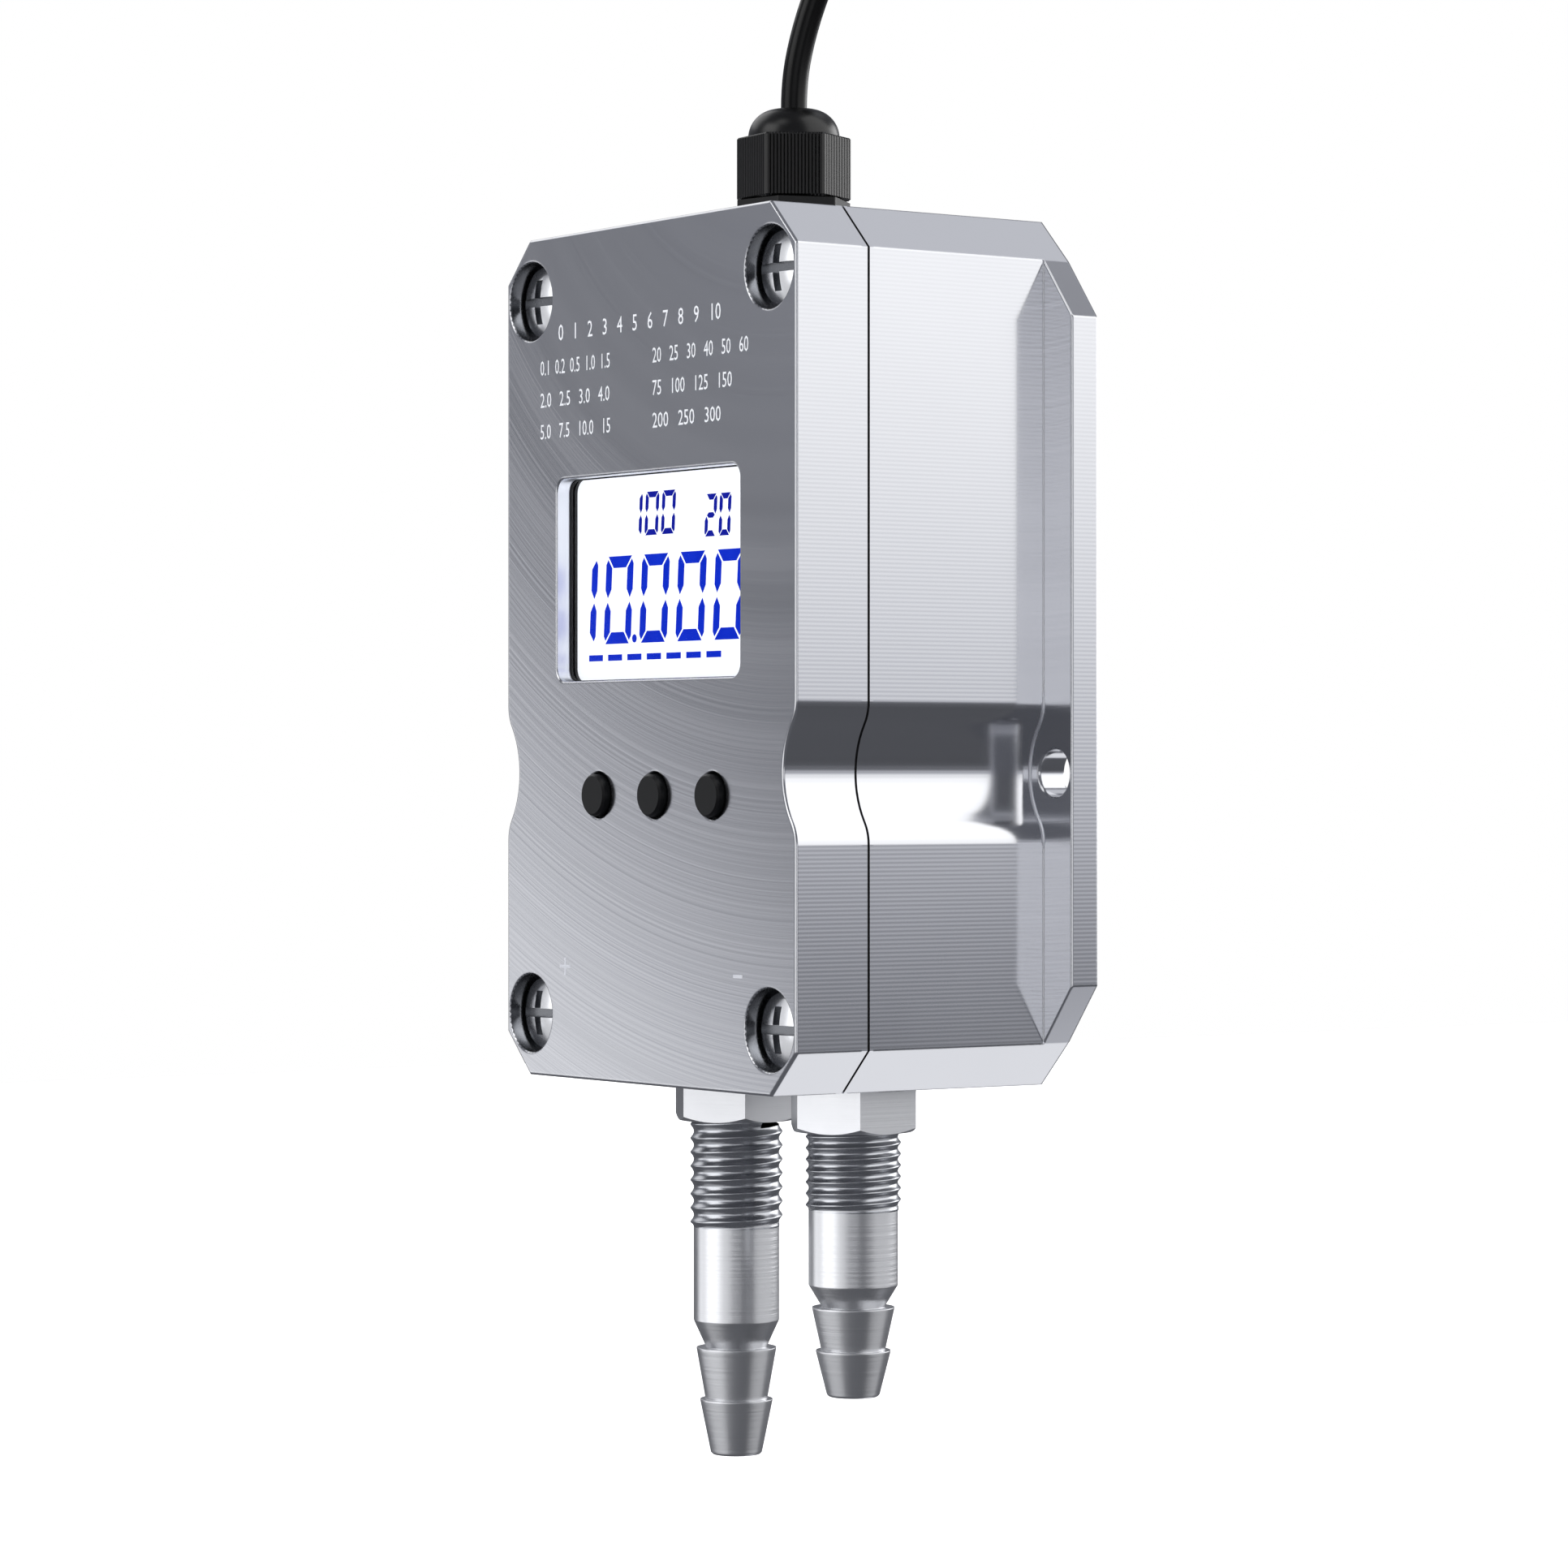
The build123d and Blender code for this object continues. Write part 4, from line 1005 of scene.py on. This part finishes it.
def fitting_piece(name, node, pitch, crest_z, shank_radius, lengths):
    """A dressed hose fitting; lengths are shank, cone, upper barb and lower barb."""
    low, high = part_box(node)
    x, y = (low.x + high.x) / 2 / MM, (low.y + high.y) / 2 / MM
    thread_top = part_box(node.replace("fitting", "nut"))[0].z / MM + into_nut
    tip = low.z / MM
    second = tip + lengths[3]
    neck = second + lengths[2]
    shank_end = neck + lengths[1]
    thread_end = shank_end + lengths[0]
    profile = [
        (port_bore, thread_end + into_thread),
        (shank_radius, thread_end + into_thread),
        (shank_radius, shank_end),
        (cone_end, neck),
        (barb_radii[0], neck),
        (barb_radii[0] - barb_draft, neck - barb_land),
        (barb_roots[0], second),
        (barb_radii[1], second),
        (barb_radii[1] - barb_draft, second - barb_land),
        (barb_roots[1], tip + tip_bevel),
        (tip_radius, tip),
        (port_bore, tip),
    ]
    points, faces = lathe(rounded(profile), x, y)
    body = make_piece(name, points, faces, turned)
    weigh_normals(body)
    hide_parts(node)
    thread_foot = thread_end - past_thread
    points, faces = thread_sleeve(
        x, y, thread_top, thread_foot, pitch, crest_z, thread_crest, shank_radius
    )
    # The thread's darker steel is painted shade of its grooves.
    thread = make_piece(name + "_thread", points, faces, thread_steel_painted_shade)
    thread.data.shade_smooth()
    print(name, "pitch", pitch, "points", len(body.data.vertices), len(thread.data.vertices))
    return [body, thread]


steel_pieces = fitting_piece(
    "high_port_barbs", "high_port_fitting", 2.09, -67.3, 6.42, (14.3, 4.1, 7.75, 8.3)
)
steel_pieces += fitting_piece(
    "low_port_barbs", "low_port_fitting", 1.65, -62.64, 6.5, (11.15, 3.2, 6.25, 6.75)
)

# %% [markdown]
# The gland's dome nut is moulded with fine upright ribs for the fingers.
# The ribs are half a millimetre apart, so they are modelled here and not in the CAD model.
# The outline of the ribbed hexagon is stacked at four heights, with bevels below and above.

# %% Ribbed hexagon of the dome nut
nut_low, nut_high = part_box("gland_nut")
nut_centre = ((nut_low.x + nut_high.x) / 2 / MM, (nut_low.y + nut_high.y) / 2 / MM)
nut_flats, nut_turn, nut_ledge = 14.8, -34.0, 93.75
rib_count, rib_pitch, rib_depth = 15, 0.51, 0.15
corner_from, corner_to, corner_sunk = 0.3, 0.14, 0.08
foot_bevel, foot_in, top_bevel = 0.3, 0.35, 0.25


def ribbed_hexagon(shrink):
    """Outline of a hexagon whose faces carry ribs; shrink pulls it in for the bevels."""
    half = nut_flats / 2 * tan(pi / 6)
    outline = []
    for side in range(6):
        turn = radians(nut_turn + 60.0 * side)
        places = [(-half + corner_to, corner_sunk), (-half + corner_from, 0.0)]
        for groove in range(rib_count):
            middle = (groove - (rib_count - 1) / 2) * rib_pitch
            places += [(middle - rib_depth, 0.0), (middle, rib_depth), (middle + rib_depth, 0.0)]
        places += [(half - corner_from, 0.0), (half - corner_to, corner_sunk)]
        for along, sunk in places:
            out = nut_flats / 2 - sunk - shrink
            u = out * cos(turn) - along * sin(turn)
            outline.append((u, out * sin(turn) + along * cos(turn)))
    return outline


nut_bottom = nut_low.z / MM
levels = [(nut_bottom, foot_in), (nut_bottom + foot_bevel, 0.0)]
levels += [(nut_ledge - top_bevel, 0.0), (nut_ledge, top_bevel)]
points = []
for z, shrink in levels:
    ring = ribbed_hexagon(shrink)
    points += [(nut_centre[0] + u, nut_centre[1] + v, z) for u, v in ring]
faces = skin(len(ring), len(levels))
faces.append(list(range(len(ring) - 1, -1, -1)))
faces.append([(len(levels) - 1) * len(ring) + i for i in range(len(ring))])
hexagon_part = make_piece("dome_nut_ribs", points, faces, black_nylon)
smooth_by_angle(hexagon_part, 20.0)
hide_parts("gland_nut")
print("dome nut:", rib_count, "ribs on each face")

# %% [markdown]
# Above the hexagon's flat ledge a round dome rolls in to the lead.
# It is turned like the fittings, from a quarter of an ellipse that ends at a flat mouth.

# %% Dome of the dome nut
dome_foot, dome_crown, mouth_radius = 6.75, 2.6, 2.15
dome_steps, dome_sunk, mouth_sunk = 16, 1.0, 0.4
dome_height = nut_high.z / MM - nut_ledge
dome_profile = [(mouth_radius, nut_ledge - dome_sunk), (dome_foot, nut_ledge - dome_sunk)]
for step in range(dome_steps + 1):
    turn = pi / 2 * step / dome_steps
    dome_profile.append(
        (dome_crown + (dome_foot - dome_crown) * cos(turn), nut_ledge + dome_height * sin(turn))
    )
dome_profile.append((mouth_radius, nut_ledge + dome_height - mouth_sunk))
points, faces = lathe(dome_profile, *nut_centre)
dome = make_piece("dome_nut_dome", points, faces, black_nylon)
smooth_by_angle(dome, 40.0)
print("dome height", round(dome_height, 2), "mm")

# %% [markdown]
# At the coil's end the jacket is cut back and four coloured cores show.
# Each core is a thin tube, and its last millimetres are bare tinned copper.
# Curves would do, but they are so short that a tube of a few rings is enough.

# %% Bare cores at the end of the lead
core_radius, copper_radius, core_shift = 0.55, 0.36, 0.6
core_bend = 11.0
strip_length = 5.0
last_turn = coil_places[-1]
end_radius = coil_radius + last_turn[0] * lead_diameter
cores_centre = Vector((coil_centre.x + end_radius - core_bend, row_depths[-1], coil_centre.z))


def arc_tube(centre, bend, depth, first, last, radius, sides=12, spacing=5.0):
    """A closed tube along an arc that rises in the plane of the wall."""
    count = max(int((last - first) / spacing), 2)
    points = []
    for step in range(count + 1):
        turn = radians(first + (last - first) * step / count)
        for side in range(sides):
            angle = 2 * pi * side / sides
            reach = bend + radius * cos(angle)
            away = (reach * cos(turn), radius * sin(angle), reach * sin(turn))
            points.append((centre.x + away[0], depth + away[1], centre.z + away[2]))
    faces = skin(sides, count + 1)
    faces.append(list(range(sides)))
    faces.append(list(range(count * sides, (count + 1) * sides)))
    return points, faces


core_finishes = {
    colour: polymer(f"{colour}_core_insulation", code, 0.4, 0.5, 0.002)
    for colour, code in (
        ("red", "#A8201C"),
        ("black", "#17181A"),
        ("blue", "#1F4E9E"),
        ("yellow", "#D9B526"),
    )
}
core_angles = (80.0, 90.0, 98.0, 106.0)
core_shifts = [(x * core_shift, y * core_shift) for x in (-1, 1) for y in (-1, 1)]
for (across, back), last, (colour, finish) in zip(core_shifts, core_angles, core_finishes.items()):
    bend = core_bend + across
    depth = cores_centre.y + back
    stripped = last - degrees(strip_length / bend)
    points, faces = arc_tube(cores_centre, bend, depth, 0.0, stripped, core_radius)
    core = make_piece(f"core_{colour}", points, faces, finish)
    points, faces = arc_tube(cores_centre, bend, depth, stripped, last - 0.3, copper_radius)
    copper = make_piece(f"core_{colour}_copper", points, faces, plated)
    for piece in (core, copper):
        smooth_by_angle(piece, 40.0)
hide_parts("cable_wires")
print("bare cores", ", ".join(core_finishes))

# %% [markdown]
# The lead leaves the gland at the first point of its route.

print("the lead leaves the gland at", lead_route[0])

# %% [markdown]
# A pale floor and a white studio stand round the object.
# The photograph shows no shadow, so the floor lies well below the object and glows evenly,
# and it is kept out of mirror images and of the light that falls on the object.

# %% Floor
floor_drop = 0.35
floor_half = 6.0
floor_z = cad_box[0].z - floor_drop
floor_mesh = bpy.data.meshes.new("floor")
floor_mesh.from_pydata(
    [(x * floor_half, y * floor_half, floor_z) for x, y in ((-1, -1), (1, -1), (1, 1), (-1, 1))],
    [],
    [(0, 1, 2, 3)],
)
floor = bpy.data.objects.new("floor", floor_mesh)
bpy.context.scene.collection.objects.link(floor)
floor_glow = {"Emission_Color": linear("#FFFFFF"), "Emission_Strength": 1.0}
floor_paint, tree, shader = new_material("floor_paint", "#F4F4F4", 0.0, 0.9, **floor_glow)
floor_mesh.materials.append(floor_paint)
floor.visible_glossy = False
floor.visible_diffuse = False
print("floor", round(floor_drop / MM), "mm below the object")

# %% [markdown]
# Metal shows only what surrounds it, so the world's brightness by direction does most work:
# bright above, dark below, and a dim side on the left that the front face mirrors.
# The studio is a room of soft boxes, described by the direction each one stands in.
# Azimuth counts from +X towards +Y, so the wall side is at +90 degrees and the camera at -36.
# Lamps would do too, but boxes of pure direction have no distance and hide nothing.

# %% Directions in the studio
world = bpy.data.worlds.new("studio")
bpy.context.scene.world = world
world.use_nodes = True
tree = world.node_tree
tree.nodes.clear()
direction = add(tree, "ShaderNodeTexCoord").outputs["Generated"]
parts = add(tree, "ShaderNodeSeparateXYZ", {0: direction})
turned_by = {0: parts.outputs["Y"], 1: parts.outputs["X"]}
turned_by = add(tree, "ShaderNodeMath", turned_by, operation="ARCTAN2")
azimuth = add(tree, "ShaderNodeMath", {0: turned_by, 1: degrees(1.0)}, operation="MULTIPLY")
raised_by = add(tree, "ShaderNodeMath", {0: parts.outputs["Z"]}, operation="ARCSINE")
elevation = add(tree, "ShaderNodeMath", {0: raised_by, 1: degrees(1.0)}, operation="MULTIPLY")
print("studio directions ready,", len(tree.nodes), "nodes")

# %% [markdown]
# A soft box is a patch of brightness between two azimuths and two elevations.
# Its edges are soft, because a hard edge would show as a line in the milled metal.
# Some boxes fade across their width, so brightness may also follow an angle, stop by stop.

# %% Soft boxes and gradients by direction
def between(value, low, high, soft):
    """One between two angles and zero outside them, with soft ends."""
    ends = []
    for angle, below, above in ((low, 0.0, 1.0), (high, 1.0, 0.0)):
        step = {"Value": value, "From Min": angle - soft, "From Max": angle + soft}
        step.update({"To Min": below, "To Max": above})
        ends.append(add(tree, "ShaderNodeMapRange", step, interpolation_type="SMOOTHSTEP"))
    return add(tree, "ShaderNodeMath", {0: ends[0], 1: ends[1]}, operation="MULTIPLY")


def soft_box(under, azimuths, elevations, soft, brightness):
    """Lays a soft box over the room: its brightness is a number or another node."""
    wide, tall = between(azimuth, *azimuths, soft), between(elevation, *elevations, soft)
    mask = add(tree, "ShaderNodeMath", {0: wide, 1: tall}, operation="MULTIPLY")
    return add(tree, "ShaderNodeMix", {0: mask, 2: under, 3: brightness})


def gradient(value, low, high, stops):
    """Brightness along an angle, by listed stops; a ramp only holds 0 to 1, hence the half."""
    place = add(tree, "ShaderNodeMapRange", {"Value": value, "From Min": low, "From Max": high})
    ramp = add(tree, "ShaderNodeValToRGB", {"Fac": place})
    elements = ramp.color_ramp.elements
    while len(elements) < len(stops):
        elements.new(0.5)
    for element, (angle, brightness) in zip(elements, stops):
        element.position = (angle - low) / (high - low)
        element.color = (brightness / 2, brightness / 2, brightness / 2, 1.0)
    return add(tree, "ShaderNodeMath", {0: ramp, 1: 2.0}, operation="MULTIPLY")


print("soft boxes and gradients can now be laid over the room")

# %% [markdown]
# Two large boxes fade across their width, as the mirror images in the photograph do.
# The side face mirrors the right rear of the room, where a tall soft box fades out downward.
# The front face mirrors the left, where a slanted soft edge gives its diagonal gradient.

# %% Fading boxes at the right rear and the left front
room = {"Value": elevation, "From Min": -5.0, "From Max": 5.0, "To Min": 0.14, "To Max": 0.2}
room = add(tree, "ShaderNodeMapRange", room, interpolation_type="SMOOTHSTEP")
right_stops = [(-60.0, 0.115), (-19.5, 0.11), (-10.8, 0.1), (-2.9, 0.19), (-1.0, 0.54)]
right_stops += [(1.1, 0.88), (3.4, 1.2), (6.0, 1.4), (15.0, 1.6)]
right_rear = gradient(elevation, -60.0, 30.0, right_stops)
slant_direction = (-0.715, 1.085, -1.0)
slant = {0: direction, 1: slant_direction}
slant = add(tree, "ShaderNodeVectorMath", slant, operation="DOT_PRODUCT").outputs["Value"]
slant = add(tree, "ShaderNodeMath", {0: slant, 1: degrees(1.0)}, operation="MULTIPLY")
left_stops = [(-8.0, 0.3), (-6.0, 0.23), (-4.5, 0.16), (-2.8, 0.1), (-1.5, 0.19)]
left_stops += [(-0.7, 0.32), (1.0, 0.46), (2.0, 0.68), (4.0, 1.02), (6.0, 1.17)]
left_front = gradient(slant, -10.0, 10.0, left_stops)
print("stops", len(right_stops), "at the right rear,", len(left_stops), "at the left front")

# %% [markdown]
# Every slanted or rounded face mirrors its own part of the room, so each gets a box there.
# A table lists them by azimuth, elevation, softness in degrees and brightness, and a later
# box covers an earlier one. Azimuth ends at 180 degrees, so a box there comes in two parts.

# %% Soft boxes of the room
soft_boxes = [
    ((0.0, 73.0), (-60.0, 70.0), 3.0, right_rear),  # tall, and fading downward
    ((73.0, 108.0), (-1.0, 24.0), 4.0, 3.6),  # behind the object, from level upward
    ((-158.0, -137.0), (-14.0, 12.0), 3.0, left_front),  # with the slanted soft edge
    ((-54.0, -22.0), (-5.0, 7.0), 1.5, 1.12),  # round the camera
    ((77.0, 118.0), (-62.0, -45.0), 6.0, 1.08),  # behind and far below
    ((84.0, 120.0), (42.0, 64.0), 6.0, 0.75),  # behind and high
    ((-95.0, -60.0), (42.0, 60.0), 5.0, 1.5),  # in front and high
    ((158.0, 181.0), (18.0, 50.0), 4.0, 1.25),  # left and raised, up to 180 degrees
    ((-184.0, -150.0), (18.0, 50.0), 4.0, 1.25),  # and on from there
    ((-122.0, -80.0), (13.0, 40.0), 3.0, 2.2),  # in front, upper part
    ((-122.0, -80.0), (-10.0, 13.0), 3.0, 1.3),  # in front, lower part
]
studio = room
for box in soft_boxes:
    studio = soft_box(studio, *box)
print("soft boxes", len(soft_boxes))

# %% [markdown]
# The camera itself sees plain white behind the object, and only the metal sees the room.
# The dim parts of the room are a little bluish, which gives the shaded metal its cool tone.

# %% White background and cool shadows
seen = add(tree, "ShaderNodeLightPath").outputs["Is Camera Ray"]
shown = add(tree, "ShaderNodeMix", {0: seen, 2: studio, 3: 1.0})
pale = add(tree, "ShaderNodeMapRange", {"Value": studio, "From Min": 0.3, "From Max": 1.3})
pale = add(tree, "ShaderNodeMath", {0: pale, 1: seen}, operation="MAXIMUM")
cool, white = (0.965, 0.99, 1.09, 1.0), (1.0, 1.0, 1.0, 1.0)
tinted = add(tree, "ShaderNodeMix", {0: pale, 6: cool, 7: white}, data_type="RGBA")
background = {"Color": tinted.outputs[2], "Strength": shown}
background = add(tree, "ShaderNodeBackground", background)
add(tree, "ShaderNodeOutputWorld", {"Surface": background})
print("studio made of", len(tree.nodes), "nodes")

# %% [markdown]
# The steel fittings are photographed with white cards of their own close by.
# A card at the left and one at the right give each cylinder a broad highlight and leave the
# dark stripes between them. A third one, low in front, lifts the barbs, and the flat sides of
# the nuts get a slightly brighter pair of their own.
# Light linking keeps the cards off the housing, as a flag does in a studio.

# %% White cards beside the fittings and the nuts
def lit_group(name, pieces):
    """A collection of the pieces that a card may light."""
    group = bpy.data.collections.new(name)
    for piece in pieces:
        group.objects.link(piece)
    return group


def card(name, place, size, brightness, aim, receivers):
    """A rectangular soft light that only its receivers catch."""
    data = bpy.data.lights.new(name, "AREA")
    data.shape = "RECTANGLE"
    data.size, data.size_y = size
    data.energy = brightness * pi * size[0] * size[1]
    light = bpy.data.objects.new(name, data)
    light.location = place
    light.rotation_euler = (Vector(aim) - Vector(place)).to_track_quat("-Z", "Y").to_euler()
    light.visible_camera = False
    light.light_linking.receiver_collection = receivers
    bpy.context.scene.collection.objects.link(light)


steel_group = lit_group("steel_fittings", steel_pieces)
nut_group = lit_group("port_nuts", (nodes["high_port_nut"], nodes["low_port_nut"]))
fitting_middle = (0.0, nut_centre[1] * MM, -0.077)  # the ports stand below the gland
left_place, left_size = (-0.057, -0.316, -0.112), (0.69, 0.185)
right_place, right_size = (0.354, 0.332, -0.235), (0.55, 0.26)
card("left_card", left_place, left_size, 1.0, fitting_middle, steel_group)
card("right_card", right_place, right_size, 0.55, fitting_middle, steel_group)
card("nut_left_card", left_place, left_size, 1.05, fitting_middle, nut_group)
card("nut_right_card", right_place, right_size, 0.6, fitting_middle, nut_group)
card("low_card", (-0.1, -0.3, -0.3), (0.4, 0.16), 0.45, fitting_middle, steel_group)
print("cards for", len(steel_pieces), "steel pieces and two nuts")

# %% [markdown]
# The domed screw heads gleam on their right halves, which mirror the room nearly straight
# ahead. A box in the world would also show in the front face, so this card is linked too.

# %% A card for the screw heads
screw_group = lit_group("cover_screw_heads", [nodes["cover_screws"]])
cover_middle = (0.0, front_y, body_middle)
card("screw_card", (-0.25, -0.7, 0.02), (0.85, 0.9), 0.6, cover_middle, screw_group)
print("card aimed at", [round(c, 3) for c in cover_middle])

# %% [markdown]
# The bare metal mirrors a dark part of the room, while ink scatters light from everywhere.
# One lamp from the front lights the ink alone, so the figures stay paler than the face.

# %% A lamp for the printing
print_group = lit_group("printing", printed_pieces)
face_middle = (0.0, front_y, 0.05)
card("print_lamp", (-0.25, -0.95, 0.35), (0.6, 0.6), 8.0, face_middle, print_group)
print("lights", len(bpy.data.lights))
